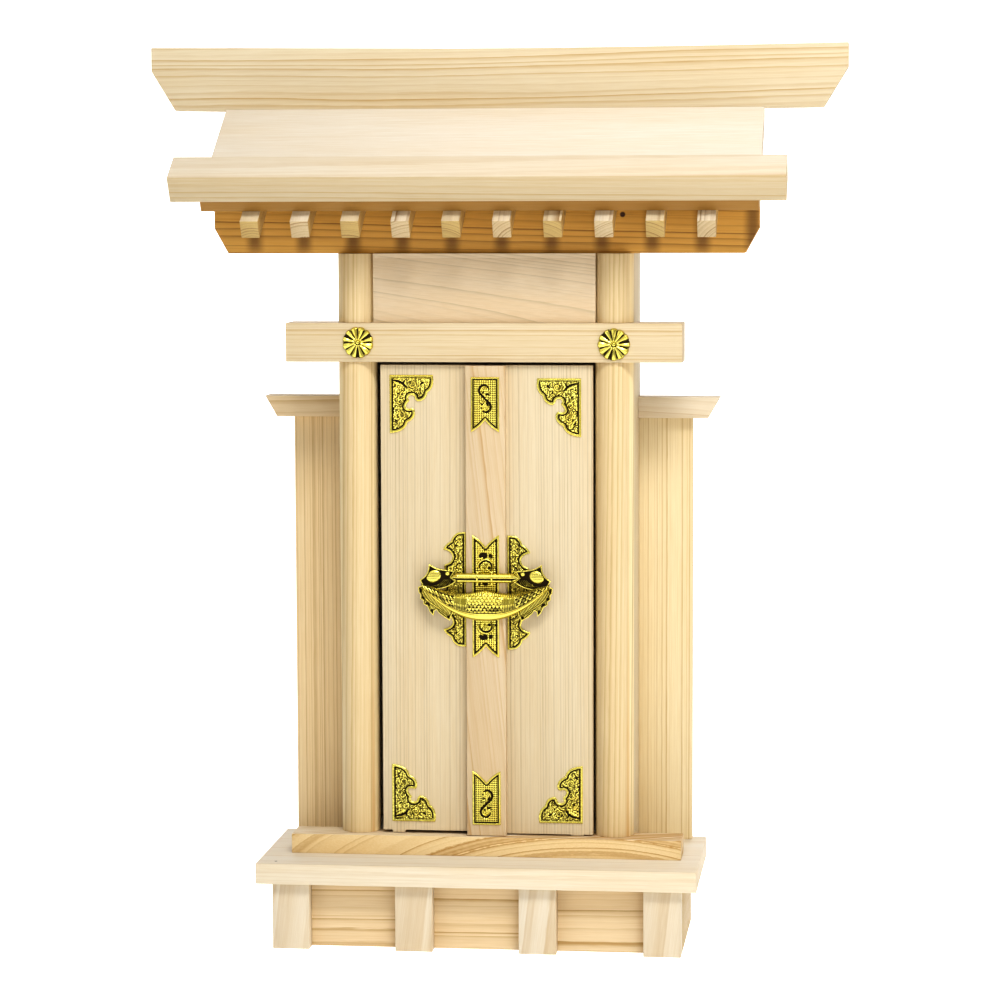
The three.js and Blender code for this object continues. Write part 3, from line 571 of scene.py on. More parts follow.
# %% [markdown]
# ## Planed boards with eased edges
# A planed board never has a razor edge: the maker takes a shaving off every arris. Each
# solid of the frame is copied, its loose triangles are merged and dissolved back into flat
# faces, and a bevel rounds the edges by a few tenths of a millimetre, enough to
# catch a line of light. Modelling each board afresh would only risk moving it.

# %% Planed board
WELD = 0.00002
EASE = 0.35


def planed_board(node):
    """A copy of a solid with its arrises eased, standing for the solid."""
    board = bpy.data.objects.new(f"{node}_planed", nodes[node].data.copy())
    bpy.context.scene.collection.objects.link(board)
    board.data.materials.clear()
    take(board)
    bpy.ops.mesh.customdata_custom_splitnormals_clear()
    bpy.ops.object.mode_set(mode="EDIT")
    bpy.ops.mesh.select_all(action="SELECT")
    bpy.ops.mesh.remove_doubles(threshold=WELD)
    bpy.ops.mesh.dissolve_limited(angle_limit=math.radians(1))
    bpy.ops.object.mode_set(mode="OBJECT")
    apply_modifier(board, "BEVEL", width=EASE * MM, segments=2, limit_method="ANGLE",
                   angle_limit=math.radians(25), harden_normals=False)
    smooth(board)
    board.data.materials.append(timber[node])
    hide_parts(node)
    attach(board, body_of_node[node])
    return board


boards = {node: planed_board(node) for node in timber}
print(len(boards), "planed boards")

# %% [markdown]
# ## A closing strip and two splinters
# The solids leave a gap between the panel over the doors and the beam above it, and a strip
# in the panel's own timber closes it. That is a known fault: the real cabinet shows a dark
# band there over its whole width, and leaving the strip out gives the gap back. The two
# splinters are thin cones below the lower edge of the beam. They hang behind the panel, so
# they can't be seen from the front.

# %% Closing strip and splinters
def transom_tongue():
    """A strip that closes the gap between the panel and the beam above it."""
    low, high = (np.array(corner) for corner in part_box("transom_panel"))
    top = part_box("front_beam")[0][2]
    overlap, set_back, clearance = 0.8 * MM, 0.15 * MM, 0.02 * MM
    size = (high[0] - low[0], (high[1] - low[1]) * 0.8, top - high[2] + overlap)
    clear_bench()
    bpy.ops.mesh.primitive_cube_add(size=1, scale=size, location=(
        (low[0] + high[0]) / 2, low[1] + set_back + size[1] / 2, top - size[2] / 2 - clearance))
    tongue = bpy.context.object
    tongue.name = "transom_tongue"
    settle(tongue)
    tongue.data.materials.append(timber["transom_panel"])
    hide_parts("transom_panel")
    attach(tongue, body_of_node["transom_panel"])
    return tongue


def splinter(name, root, tip, width):
    """A torn sliver that thins from its root to its tip, still hanging from an edge."""
    root, tip = Vector(root), Vector(tip)
    clear_bench()
    bpy.ops.mesh.primitive_cone_add(
        vertices=8, radius1=width * MM, radius2=0.15 * width * MM, depth=(tip - root).length * MM,
        location=(root + tip) / 2 * MM, rotation=(tip - root).to_track_quat("Z", "Y").to_euler())
    sliver = bpy.context.object
    sliver.name = name
    settle(sliver)
    sliver.data.materials.append(timber["rafter_01"])
    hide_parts("front_beam")
    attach(sliver, body_of_node["front_beam"])
    return sliver


tongue = transom_tongue()
root = np.array(along_beam(0.6426, 0.3)) + (0, 1.0, 0)
slivers = [
    splinter("splinter_long", root, root + (4.6, -0.6, -5.6), 0.4),
    splinter("splinter_short", root + (-1.4, 0, 0), root + (2.2, -0.4, -0.6), 0.35),
]
print(tongue.name, "and", len(slivers), "splinters")

# %% [markdown]
# ## Gilt brass
# The fittings are taken to be thin brass sheet, pressed and gilt in a greenish yellow. A dark
# wash lies in the hollows and not on the high places, which is what makes such relief read
# from a distance. Pointiness would guess at the hollows; here every mesh carries its
# own Recess value, worked out with its relief, so that the wash lies where it is meant to.

# %% Gilt material
GILT = (0.63, 0.57, 0.145)
WASH = (0.022, 0.014, 0.004)


def gilt_brass():
    metal = bpy.data.materials.new("gilt_brass_pressed")
    metal.use_nodes = True
    tree = metal.node_tree
    shader = tree.nodes["Principled BSDF"]
    place = add(tree, "ShaderNodeTexCoord").outputs["Object"]
    recess = add(tree, "ShaderNodeAttribute", attribute_name="Recess").outputs["Fac"]
    grime = noise(tree, place, 900, 3.0).outputs[0]
    stained = calc(tree, "MULTIPLY_ADD", calc(tree, "SUBTRACT", grime, 0.5), 0.5, recess)
    stained = spread(tree, stained, 0.12, 0.8)
    warm = spread(tree, noise(tree, place, 60, 2.0).outputs[0], 0.3, 0.7)
    gold = blend_colour(tree, warm, (*GILT, 1), (0.65, 0.54, 0.12, 1))
    feed(tree, blend_colour(tree, stained, gold, (*WASH, 1)), shader.inputs["Base Color"])
    feed(tree, spread(tree, stained, 0, 1, 0.96, 0.15), shader.inputs["Metallic"])
    feed(tree, spread(tree, stained, 0, 1, 0.2, 0.7), shader.inputs["Roughness"])
    shader.inputs["Specular IOR Level"].default_value = 0.15
    return metal


gilt = gilt_brass()
print(gilt.name, len(gilt.node_tree.nodes), "nodes")

# %% [markdown]
# ## Pressed relief
# A die presses the sheet up into a rim, scrolls and leaves, and leaves fine dark lines along
# them. Sculpting would do it by hand and differently on each plate, so the relief is written
# as the die cutter would plan it: an even ground, then strokes and hollows along named
# curves. A fine grid takes those heights, is closed behind, and is cut to the plate's
# outline with a Boolean, so that its edge stays as crisp as the solid's.

# %% Curves and distances
def bow(start, end, bulge, count=9):
    """Points on a bowed line; bulge is its rise to the left, as a share of its length."""
    start, end = np.array(start, float), np.array(end, float)
    share = np.linspace(0, 1, count)[:, None]
    left = np.array([start[1] - end[1], end[0] - start[0]])
    return start + (end - start) * share + left * bulge * 4 * share * (1 - share)


def curl(centre, radius, start, turn, inner=0.25, count=24):
    """Points on a spiral, from its wide end; start and turn are in degrees."""
    share = np.linspace(0, 1, count)
    angle = np.radians(start + turn * share)
    reach = radius * (1 - (1 - inner) * share)
    return np.stack([centre[0] + reach * np.cos(angle), centre[1] + reach * np.sin(angle)], 1)


def path_distance(x, z, path, closed=False):
    """Distance of each point to a path, and how far along it the nearest place lies, 0 to 1."""
    path = np.asarray(path, float)
    starts, ends = (path, np.roll(path, -1, 0)) if closed else (path[:-1], path[1:])
    nearest = np.full(x.shape, 1e9)
    along = np.zeros(x.shape)
    for i, (a, b) in enumerate(zip(starts, ends)):
        run = b - a
        share = ((x - a[0]) * run[0] + (z - a[1]) * run[1]) / max(run @ run, 1e-12)
        share = np.clip(share, 0, 1)
        gap = np.hypot(x - a[0] - share * run[0], z - a[1] - share * run[1])
        closer = gap < nearest
        nearest = np.where(closer, gap, nearest)
        along = np.where(closer, (i + share) / len(starts), along)
    return nearest, along


def soft(value, low, high):
    """0 below low, 1 above high, smooth between."""
    share = np.clip((value - low) / (high - low), 0, 1)
    return share * share * (3 - 2 * share)


print("bow, curl, path_distance, soft")


# %% Relief
class Relief:
    """Height in millimetres and darkness of a pressed sheet, at many points at once."""

    def __init__(self, x, z, outline, ground=0.42):
        self.x, self.z = x, z
        self.low, self.high = outline.min(0), outline.max(0)
        self.edge = path_distance(x, z, outline, closed=True)[0]
        self.height = np.full(x.shape, float(ground))
        self.dark = np.zeros(x.shape)

    def darken(self, amount):
        self.dark = np.maximum(self.dark, amount)

    def groove(self, path, width, depth=0.22, dark=1.0):
        """A dark line sunk along a path, widest in its middle."""
        gap, along = path_distance(self.x, self.z, path)
        reach = 0.5 * width * (0.45 + 0.55 * np.sin(np.pi * along))
        near = 1 - soft(gap, reach * 0.75, reach * 1.2 + 0.06)
        self.height -= depth * near
        self.darken(dark * near)

    def stroke(self, path, width, lift=0.4, outline=0.8):
        """A raised round stroke that tapers to its ends, with dark lines along its sides."""
        gap, along = path_distance(self.x, self.z, path)
        reach = 0.5 * width * (0.35 + 0.65 * np.sin(np.pi * (0.12 + 0.8 * along)))
        inside = np.clip(1 - (gap / reach) ** 2, 0, 1)
        beside = soft(gap, reach * 0.85, reach) * (1 - soft(gap, reach + 0.14, reach + 0.34))
        self.dark *= 1 - soft(inside, 0, 0.3)
        raised = np.maximum(self.height, 0.42) + lift * np.sqrt(inside)
        self.height = np.where(inside > 0, raised, self.height)
        self.height -= 0.16 * beside
        self.darken(outline * beside)

    def oval(self, at, radii, turn=0.0):
        """0 at the middle of a turned oval, 1 on its edge."""
        angle = math.radians(turn)
        dx, dz = self.x - at[0], self.z - at[1]
        along = dx * math.cos(angle) + dz * math.sin(angle)
        across = dz * math.cos(angle) - dx * math.sin(angle)
        return np.hypot(along / radii[0], across / radii[1])

    def hollow(self, at, radii, turn=0.0, depth=0.3, dark=1.0):
        inside = 1 - soft(self.oval(at, radii, turn), 0.75, 1.1)
        self.height -= depth * inside
        self.darken(dark * inside)

    def dome(self, at, radii, turn=0.0, lift=0.5, outline=0.8):
        share = self.oval(at, radii, turn)
        inside = np.clip(1 - share**2, 0, 1)
        ring = soft(share, 0.9, 1.02) * (1 - soft(share, 1.12, 1.34))
        self.dark *= 1 - soft(inside, 0, 0.25)
        self.height += lift * np.sqrt(inside) - 0.14 * ring
        self.darken(outline * ring)

    def nanako(self, pitch, low=0.3, dark=0.95):
        """Rows of small punched beads, with dark specks where four of them meet."""
        bead = np.abs(np.cos(np.pi * self.x / pitch) * np.cos(np.pi * self.z / pitch))
        speck = np.abs(np.sin(np.pi * self.x / pitch) * np.sin(np.pi * self.z / pitch))
        self.height += 0.34 * np.sqrt(bead) - 0.14
        self.darken(dark * soft(speck, 0.62, 0.86))
        self.darken(low * (1 - soft(bead, 0.1, 0.4)))

    def foliage(self, pitch, seed, lift=0.38, dark=0.85):
        """Close small curls and beads in every direction, as a pressed leaf ground."""
        bench = np.random.default_rng(seed)
        for row in np.arange(self.low[1], self.high[1] + pitch, pitch * 0.87):
            for column in np.arange(self.low[0], self.high[0] + pitch, pitch):
                at = (column + bench.uniform(-0.35, 0.35) * pitch, row + bench.uniform(-0.3, 0.3) * pitch)
                size = pitch * bench.uniform(0.34, 0.5)
                share = self.oval(at, (size * 1.25, size * 0.72), bench.uniform(0, 180))
                inside = np.clip(1 - share**2, 0, 1)
                self.height = np.maximum(self.height, 0.36 + lift * np.sqrt(inside) * (inside > 0))
                self.dark = np.where(inside > 0.2, self.dark * 0.3, self.dark)
        low = 1 - soft(self.height, 0.4, 0.47)
        self.darken(dark * low * bench.uniform(0.75, 1.0, self.x.shape))

    def rim(self, width=1.15, lift=0.5, line=0.5, painted_light_fade=None):
        """A rounded bead round the edge, with a dark line inside it; the last argument lightens the line as
        painted light where light falls on the edge.
        """
        share = np.clip(np.abs(self.edge - 0.5 * width) / (0.5 * width), 0, 1)
        bead = np.sqrt(1 - share**2)
        on_rim = self.edge < width
        self.height = np.where(on_rim, 0.4 + lift * bead, self.height)
        self.dark = np.where(on_rim, 0.34 + 0.3 * soft(share, 0.45, 1.0), self.dark)
        starts = soft(self.edge, width - 0.08, width + 0.04)
        beside = starts * (1 - soft(self.edge, width + line, width + line + 0.2))
        self.height -= 0.2 * beside
        self.darken(beside if painted_light_fade is None else beside * painted_light_fade)


print("Relief is ready")


# %% Plates from their outlines
def plate_outline(node):
    """Corners of a plate's flat back in order round its edge, as X-Z pairs in millimetres."""
    mesh = nodes[node].data
    places = [tuple(np.round(np.array(v.co) / MM, 3)) for v in mesh.vertices]
    rear = max(place[1] for place in places)
    edges = set()
    for polygon in mesh.polygons:
        corners = [places[v] for v in polygon.vertices]
        if all(abs(corner[1] - rear) < 0.01 for corner in corners):
            edges.update(zip(corners, corners[1:] + corners[:1]))
    border = {a: b for a, b in edges if (b, a) not in edges}
    outline = [next(iter(border))]
    while border[outline[-1]] != outline[0]:
        outline.append(border[outline[-1]])
    return np.array([(corner[0], corner[2]) for corner in outline]), rear


def weld(piece):
    """Joins vertices that lie on one another."""
    take(piece)
    bpy.ops.object.mode_set(mode="EDIT")
    bpy.ops.mesh.select_all(action="SELECT")
    bpy.ops.mesh.remove_doubles(threshold=WELD)
    bpy.ops.object.mode_set(mode="OBJECT")


def pick_border(piece):
    """Enters edit mode with only the open border selected."""
    take(piece)
    bpy.ops.object.mode_set(mode="EDIT")
    bpy.ops.mesh.select_mode(type="VERT")
    bpy.ops.mesh.select_all(action="DESELECT")
    bpy.ops.mesh.select_non_manifold()


def face_outwards():
    """Turns every face outwards and leaves edit mode."""
    bpy.ops.mesh.select_all(action="SELECT")
    bpy.ops.mesh.normals_make_consistent(inside=False)
    bpy.ops.object.mode_set(mode="OBJECT")


def fill_border(piece):
    """Closes the open border of the piece with one face."""
    pick_border(piece)
    bpy.ops.mesh.edge_face_add()
    face_outwards()


def read_places(piece):
    flat = np.empty(len(piece.data.vertices) * 3)
    piece.data.vertices.foreach_get("co", flat)
    return flat.reshape(-1, 3) / MM


def write_places(piece, places):
    piece.data.vertices.foreach_set("co", (places * MM).ravel())
    piece.data.update()


def write_recess(piece, dark):
    attribute = piece.data.attributes.new("Recess", "FLOAT", "POINT")
    attribute.data.foreach_set("value", np.clip(dark, 0, 1))


def grid_sheet(name, columns, rows):
    """A flat grid, with each vertex's share of its length and width, 0 to 1."""
    clear_bench()
    bpy.ops.mesh.primitive_grid_add(x_subdivisions=columns, y_subdivisions=rows, size=2)
    sheet = bpy.context.object
    sheet.name = name
    return sheet, read_places(sheet)[:, :2] * MM / 2 + 0.5


def outline_prism(outline, rear, depth):
    """A cutter as wide as the outline: a filled circle of its points, pulled forwards."""
    clear_bench()
    bpy.ops.mesh.primitive_circle_add(vertices=len(outline), radius=1, fill_type="NGON")
    prism = bpy.context.object
    write_places(prism, np.stack([outline[:, 0], np.full(len(outline), rear), outline[:, 1]], 1))
    bpy.ops.object.mode_set(mode="EDIT")
    bpy.ops.mesh.select_all(action="SELECT")
    bpy.ops.mesh.extrude_region_move(TRANSFORM_OT_translate={"value": (0, -depth * MM, 0)})
    face_outwards()
    return prism


def close_behind(sheet, rear):
    """Pulls the border of an open sheet back to a plane and fills it."""
    pick_border(sheet)
    bpy.ops.mesh.extrude_edges_move(TRANSFORM_OT_translate={"value": (0, MM, 0)})
    bpy.ops.object.mode_set(mode="OBJECT")
    places = read_places(sheet)
    moved = np.array([v.select for v in sheet.data.vertices])
    places[moved, 1] = rear
    write_places(sheet, places)
    bpy.ops.object.mode_set(mode="EDIT")
    bpy.ops.mesh.edge_face_add()
    face_outwards()


def pressed_sheet(name, outline, rear, design, pitch=0.2, base=0.0):
    """A closed sheet in relief, cut to its outline. design(x, z) gives a Relief."""
    low, high = outline.min(0) - 0.6, outline.max(0) + 0.6
    columns, rows = (int(math.ceil(run / pitch)) for run in high - low)
    sheet, share = grid_sheet(name, columns, rows)
    x, z = (low + share * (high - low)).T
    write_places(sheet, np.stack([x, rear - base - np.maximum(design(x, z).height, 0.06), z], 1))
    close_behind(sheet, rear)
    cutter = outline_prism(outline, rear + 0.05, base + 3)
    apply_modifier(sheet, "BOOLEAN", operation="INTERSECT", object=cutter, solver="MANIFOLD")
    bpy.data.objects.remove(cutter)
    places = read_places(sheet)
    relief = design(places[:, 0], places[:, 2])
    write_recess(sheet, np.where(relief.edge > 0.3, relief.dark, 0))
    dress_brass(sheet)
    return sheet


def dress_brass(piece, degrees=50):
    smooth(piece, degrees)
    piece.data.materials.clear()
    piece.data.materials.append(gilt)


def mount(piece, node):
    """The piece stands for a solid and moves with its body."""
    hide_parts(node)
    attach(piece, body_of_node[node])
    return piece


def plate(node, outline, rear, origin, flip, design_face, pitch=0.2):
    """Presses one plate. Its design is measured from origin, and mirrored where flip is -1."""
    local = (outline - origin) * flip

    def design(x, z):
        relief = Relief((x - origin[0]) * flip[0], (z - origin[1]) * flip[1], local)
        design_face(relief)
        return relief

    return mount(pressed_sheet(f"{node}_pressed", outline, rear, design, pitch), node)


print("plates can be pressed")

# %% [markdown]
# ## Corner plates
# All four share one design: a large leaf lies along the outer corner over a deep dark line.
# It is written once, in distances from the plate's own outer corner, and mirrored by
# measuring those distances the other way. The small foliage that fills the rest is a seeded
# random draw, different on each plate, and stands in for leaves it doesn't follow.

# %% Corner plates
def corner_design(relief, seed):
    """Relief of a corner plate; x and z are distances from its outer corner."""
    relief.foliage(1.23, seed)
    relief.stroke(curl((12.6, 4.8), 2.3, 200, -420), 0.9, 0.34)
    relief.stroke(curl((15.4, 9.8), 1.9, 60, 400), 0.8, 0.32)
    relief.stroke(curl((5.6, 14.6), 2.1, 100, -420), 0.9, 0.34)
    relief.stroke(curl((6.2, 21.6), 2.4, 240, 430), 0.9, 0.34)
    relief.stroke(bow((9.4, 7.2), (13.6, 10.4), -0.18), 0.9, 0.3)
    relief.stroke(bow((7.6, 8.4), (5.8, 12.4), 0.2), 0.8, 0.3)
    relief.dome((5.4, 4.1), (4.4, 1.6), 22, 0.42, 0.2)
    for i in range(3):
        vein = bow((3.6 + 1.5 * i, 3.0 + 0.5 * i), (4.2 + 1.5 * i, 4.3 + 0.5 * i), 0.15)
        relief.groove(vein, 0.35, 0.12, 0.8)
    relief.groove(bow((1.5, 2.9), (9.2, 6.7), -0.13), 1.25, 0.35)
    relief.groove(bow((8.6, 2.7), (7.9, 6.2), 0.2), 0.9, 0.3)
    relief.dome((3.9, 8.9), (1.2, 1.9), 20, 0.4, 0.6)
    relief.hollow((4.6, 10.0), (0.9, 0.42), 30)
    relief.hollow((2.9, 6.4), (0.42, 0.55))
    relief.hollow((17.6, 4.4), (1.3, 0.55), -38)
    relief.hollow((15.2, 7.5), (0.4, 0.4))
    relief.hollow((11.4, 4.0), (0.4, 0.6), 20)
    relief.hollow((3.4, 24.4), (1.2, 0.42), 35)
    relief.groove(bow((3.8, 16.4), (2.4, 20.6), 0.22), 0.5, 0.2, 0.9)
    relief.groove(bow((2.0, 25.0), (4.8, 27.6), -0.16), 0.5, 0.2, 0.9)
    # Painted light: the dark line inside the rim is lightened along the plate's outer horizontal edge.
    relief.rim(1.3, painted_light_fade=0.35 + 0.65 * soft(relief.z, 1.6, 2.4))


def corner_plate(node, seed):
    outline, rear = plate_outline(node)
    flip = (-1 if node.endswith("right") else 1, -1 if "top" in node else 1)
    corner = (outline * flip).min(0) * flip
    return plate(node, outline, rear, corner, flip, lambda relief: corner_design(relief, seed))


corner_plates = [
    corner_plate(f"corner_plate_{corner}", seed)
    for seed, corner in enumerate(("top_left", "top_right", "bottom_left", "bottom_right"))
]
print(sum(len(plate.data.polygons) for plate in corner_plates), "faces on the corner plates")

# %% [markdown]
# ## Batten strips
# The three strips on the batten have a ground of small punched beads. The short ones carry an
# S-shaped scroll; the long middle one carries a curled scroll at each end of the lock, with
# black leaf hollows beside it.

# %% Strips
def scroll_strip(relief):
    """An S scroll between two side leaves; x and z are measured from its middle."""
    relief.nanako(1.2)
    upper = curl((-0.1, 4.7), 3.3, 235, -235, 0.62)
    lower = curl((0.1, -4.7), 3.3, 55, -235, 0.62)
    relief.dome((-0.3, 4.4), (2.6, 2.9), 0, 0.1, 0.0)
    relief.dome((0.3, -4.4), (2.6, 2.9), 0, 0.1, 0.0)
    relief.stroke(curl((-0.1, 4.6), 2.3, 235, -200, 0.62), 0.9, 0.4, 0.0)
    relief.stroke(curl((0.1, -4.6), 2.3, 55, -200, 0.62), 0.9, 0.4, 0.0)
    relief.stroke(bow((-1.6, 1.4), (1.2, -2.4), 0.12), 0.9, 0.4, 0.0)
    relief.groove(np.concatenate([upper[::-1], lower]), 1.15, 0.3)
    relief.stroke(bow((0.6, 2.6), (2.5, 3.2), -0.3), 0.7, 0.34)
    relief.groove(bow((0.2, 1.6), (2.5, 1.8), 0.35), 0.75, 0.25)
    relief.stroke(bow((0.5, 0.6), (2.3, 0.2), -0.3), 0.7, 0.34)
    relief.stroke(bow((-2.8, -1.0), (-0.5, -1.4), -0.3), 0.8, 0.34)
    relief.groove(bow((-2.6, -2.6), (-0.6, -2.6), -0.3), 0.75, 0.25)
    relief.hollow((1.3, -3.0), (0.6, 1.3), 25)
    relief.hollow((-0.9, 3.4), (0.45, 0.9), -15)
    relief.dome((0.9, -5.6), (0.5, 1.0), 40, 0.3)
    relief.dome((0.4, 5.4), (0.9, 0.6), 30, 0.3)
    relief.dome((-1.6, -6.0), (0.6, 0.7), 30, 0.4, 0.0)


def leaf_scroll(relief, middle, way):
    """A curled scroll with two black leaf hollows beyond it; way is 1 upwards, -1 downwards."""
    arch = curl((0.2, middle), 4.5, 180, -215, 0.72)
    arch[:, 1] = middle + (arch[:, 1] - middle) * way
    relief.dome((0.2, middle + 0.6 * way), (3.9, 3.4), 0, 0.12, 0.0)
    relief.stroke(arch, 1.3, 0.5, 0.0)
    inner = curl((0.3, middle), 3.6, 195, -235, 0.85)
    inner[:, 1] = middle + (inner[:, 1] - middle) * way
    relief.groove(inner, 0.95, 0.3)
    relief.hollow((1.9, middle - 0.5 * way), (1.0, 0.8), 20 * way)
    for i in range(3):
        ray = bow((-0.4, middle - 0.8 * way), (-1.9 + 1.5 * i, middle + 1.6 * way), 0.1)
        relief.stroke(ray, 0.6, 0.24, 0.7)
    relief.hollow((-1.3, middle + 6.1 * way), (2.6, 1.8), 8 * way, 0.35)
    relief.hollow((2.7, middle + 5.9 * way), (1.1, 1.5), 20 * way, 0.35)
    relief.dome((-2.3, middle + 4.6 * way), (1.1, 0.5), 20 * way, 0.3, 0.0)
    relief.hollow((5.1, middle - 0.4 * way), (0.5, 0.65))


def strip(node, design_face):
    outline, rear = plate_outline(node)
    middle = (outline.min(0) + outline.max(0)) / 2

    def rimmed(relief):
        design_face(relief)
        relief.rim(1.05, 0.5, 0.5)

    return plate(node, outline, rear, middle, (1, 1), rimmed)


SCROLL_RISE = 3.2


def short_strip(way):
    """The design of a short strip, upright with way 1 and turned over with -1."""
    def design_face(relief):
        relief.z = way * relief.z - SCROLL_RISE
        scroll_strip(relief)
        relief.z = way * (relief.z + SCROLL_RISE)

    return design_face


def middle_strip(relief):
    relief.nanako(1.2)
    leaf_scroll(relief, 15.8, 1)
    leaf_scroll(relief, -15.8, -1)
    for at, radii in (((-3.3, 6.6), (0.75, 0.95)), ((-0.2, 7.1), (1.7, 1.3)), ((2.9, 7.7), (1.1, 0.85))):
        relief.hollow(at, radii, -20, 0.35)


strips = [
    strip("strip_top", short_strip(1)),
    strip("strip_middle", middle_strip),
    strip("strip_bottom", short_strip(-1)),
]
print(sum(len(piece.data.polygons) for piece in strips), "faces on the strips")

# %% [markdown]
# ## Side plates
# Beside the lock each door carries a plate that mirrors the other, with a C scroll towards
# each end and foliage between.

# %% Side plates
def side_design(relief, half, seed):
    """Relief of a side plate; x is the distance from its straight edge, z from its middle."""
    relief.foliage(1.19, seed)
    for end in (-1, 1):
        at = (6.2, end * (half - 12.6))
        relief.stroke(curl(at, 3.0, 90 * end, -400 * end), 1.15, 0.5)
        relief.hollow((at[0] + 0.2, at[1]), (0.5, 0.5), 0, 0.2, 0.9)
        relief.stroke(bow((3.4, end * (half - 4.2)), (5.8, end * (half - 8.6)), 0.2 * end), 0.9, 0.34)
        relief.groove(bow((2.4, end * (half - 16.5)), (5.6, end * (half - 20)), 0.2 * end), 0.6, 0.25)
        relief.hollow((5.4, end * (half - 7.4)), (0.9, 0.4), 30 * end)
        relief.stroke(curl((4.2, end * (half - 22.5)), 1.9, -90 * end, 380 * end), 0.8, 0.34)
    relief.rim(1.05, 0.48, 0.5)


def side_plate(node, seed):
    outline, rear = plate_outline(node)
    across = 1 if node.endswith("right") else -1
    straight = (across * outline[:, 0]).min() * across
    bottom, top = outline[:, 1].min(), outline[:, 1].max()
    origin = np.array([straight, (bottom + top) / 2])

    def design_face(relief):
        side_design(relief, (top - bottom) / 2, seed)

    return plate(node, outline, rear, origin, (across, 1), design_face, 0.22)


side_plates = [side_plate("side_plate_left", 11), side_plate("side_plate_right", 12)]
print(sum(len(piece.data.polygons) for piece in side_plates), "faces on the side plates")

# %% [markdown]
# ## Rosettes
# Each rosette is a flower with ridged petals, dark grooves between them and a small ball in
# the middle. It has twelve petals here; the real number is only known to within one. One
# sheet is wrapped round the middle: a grid whose length becomes the angle and whose width
# the radius.

# %% Rosettes
PETALS = 12
PETAL_COLUMNS = 20
ROSETTE_RINGS = 30


def rosette(node, turn):
    low, high = (np.array(corner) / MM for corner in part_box(node))
    middle = (low + high) / 2
    radius = (high[0] - low[0]) / 2 - 0.02
    height = (high[1] - low[1]) - 0.9
    flower, share = grid_sheet(f"{node}_pressed", PETALS * PETAL_COLUMNS, ROSETTE_RINGS)
    angle = 2 * np.pi * share[:, 0]
    reach = share[:, 1]
    phase = (share[:, 0] * PETALS) % 1
    crest = 1 - np.abs(2 * phase - 1)
    bulge = np.sin(np.pi * phase)
    lobe = 1 - 0.07 * (1 - bulge**0.7) * soft(reach, 0.5, 1)
    groove = 1 - soft(crest, 0.12, 0.36)
    body = height * (0.5 + 0.5 * np.sqrt(np.clip(1 - ((reach - 0.5) / 0.7) ** 2, 0, 1)))
    body *= 1 - soft(reach, 0.93, 1.0) * 0.9
    petal = soft(reach, 0.1, 0.5)
    lift = body * (0.62 + 0.38 * (petal * crest + 1 - petal))
    well = 1 - soft(np.abs(reach - 0.15), 0.02, 0.045)
    lift -= 0.4 * well
    ball = np.sqrt(np.clip(1 - (reach / 0.13) ** 2, 0, 1))
    lift += ball * 0.9
    uneven = 0.55 + 0.45 * np.sin(angle * 3 + turn * 7)
    dark = groove * soft(reach, 0.16, 0.24) * (1 - 0.55 * soft(reach, 0.86, 0.95))
    dark = np.maximum(dark, 0.75 * uneven * (1 - soft(crest, 0.4, 0.8)) * soft(reach, 0.2, 0.4))
    # Painted shade: the well round the ball is darkened on its lower side only, below the ball.
    dark = np.maximum(dark, well * (0.5 - 0.5 * np.sin(angle + turn)))
    r = radius * reach * lobe
    x = middle[0] + r * np.cos(angle + turn)
    z = middle[2] + r * np.sin(angle + turn)
    lift = np.minimum(lift, high[1] - low[1] - 0.01)
    write_places(flower, np.stack([x, high[1] - lift, z], 1))
    write_recess(flower, dark)
    weld(flower)
    close_behind(flower, high[1])
    dress_brass(flower, 60)
    return mount(flower, node)


rosettes = [rosette("rosette_left", 0), rosette("rosette_right", math.pi / PETALS)]
print(sum(len(piece.data.polygons) for piece in rosettes), "faces on the rosettes")

# %% [markdown]
# ## The shrimp lock
# The lock is a folded shrimp: a scaled, bellied crescent, a head at each end, spiny fins
# behind it and a pointed bar held by two rings. Its body is far too round for a flat die,
# so its sheet is bent over a curved section and the scales are raised on that. The heads
# and fins are flat sheet, pressed like the plates, and the bar and rings are turned.

# %% Lock body
lock_low, lock_high = (np.array(corner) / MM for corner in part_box("shrimp_lock"))
LOCK_MIDDLE = (lock_low[0] + lock_high[0]) / 2
LOCK_HEIGHT = 198.2
LOCK_REAR = lock_high[1]
LOCK_REACH = 34.5


def scale_rows(x, z, width, height):
    """Overlapping rounded scales in staggered rows: (height 0 to 1, darkness 0 to 1)."""
    row = np.floor(z / height)
    across = (x / width + 0.5 * (row % 2)) % 1 - 0.5
    down = z / height - row
    edge = np.abs(2 * across) ** 2.2 + (1 - down) ** 2.2
    inside = np.clip(1 - edge, 0, 1)
    worn = 0.5 + 0.5 * np.sin(12.9 * np.floor(x / width + 0.5 * (row % 2)) + 78.2 * row)
    return np.sqrt(inside), np.maximum(1 - soft(inside, 0.08, 0.42), 0.5 * worn**2)


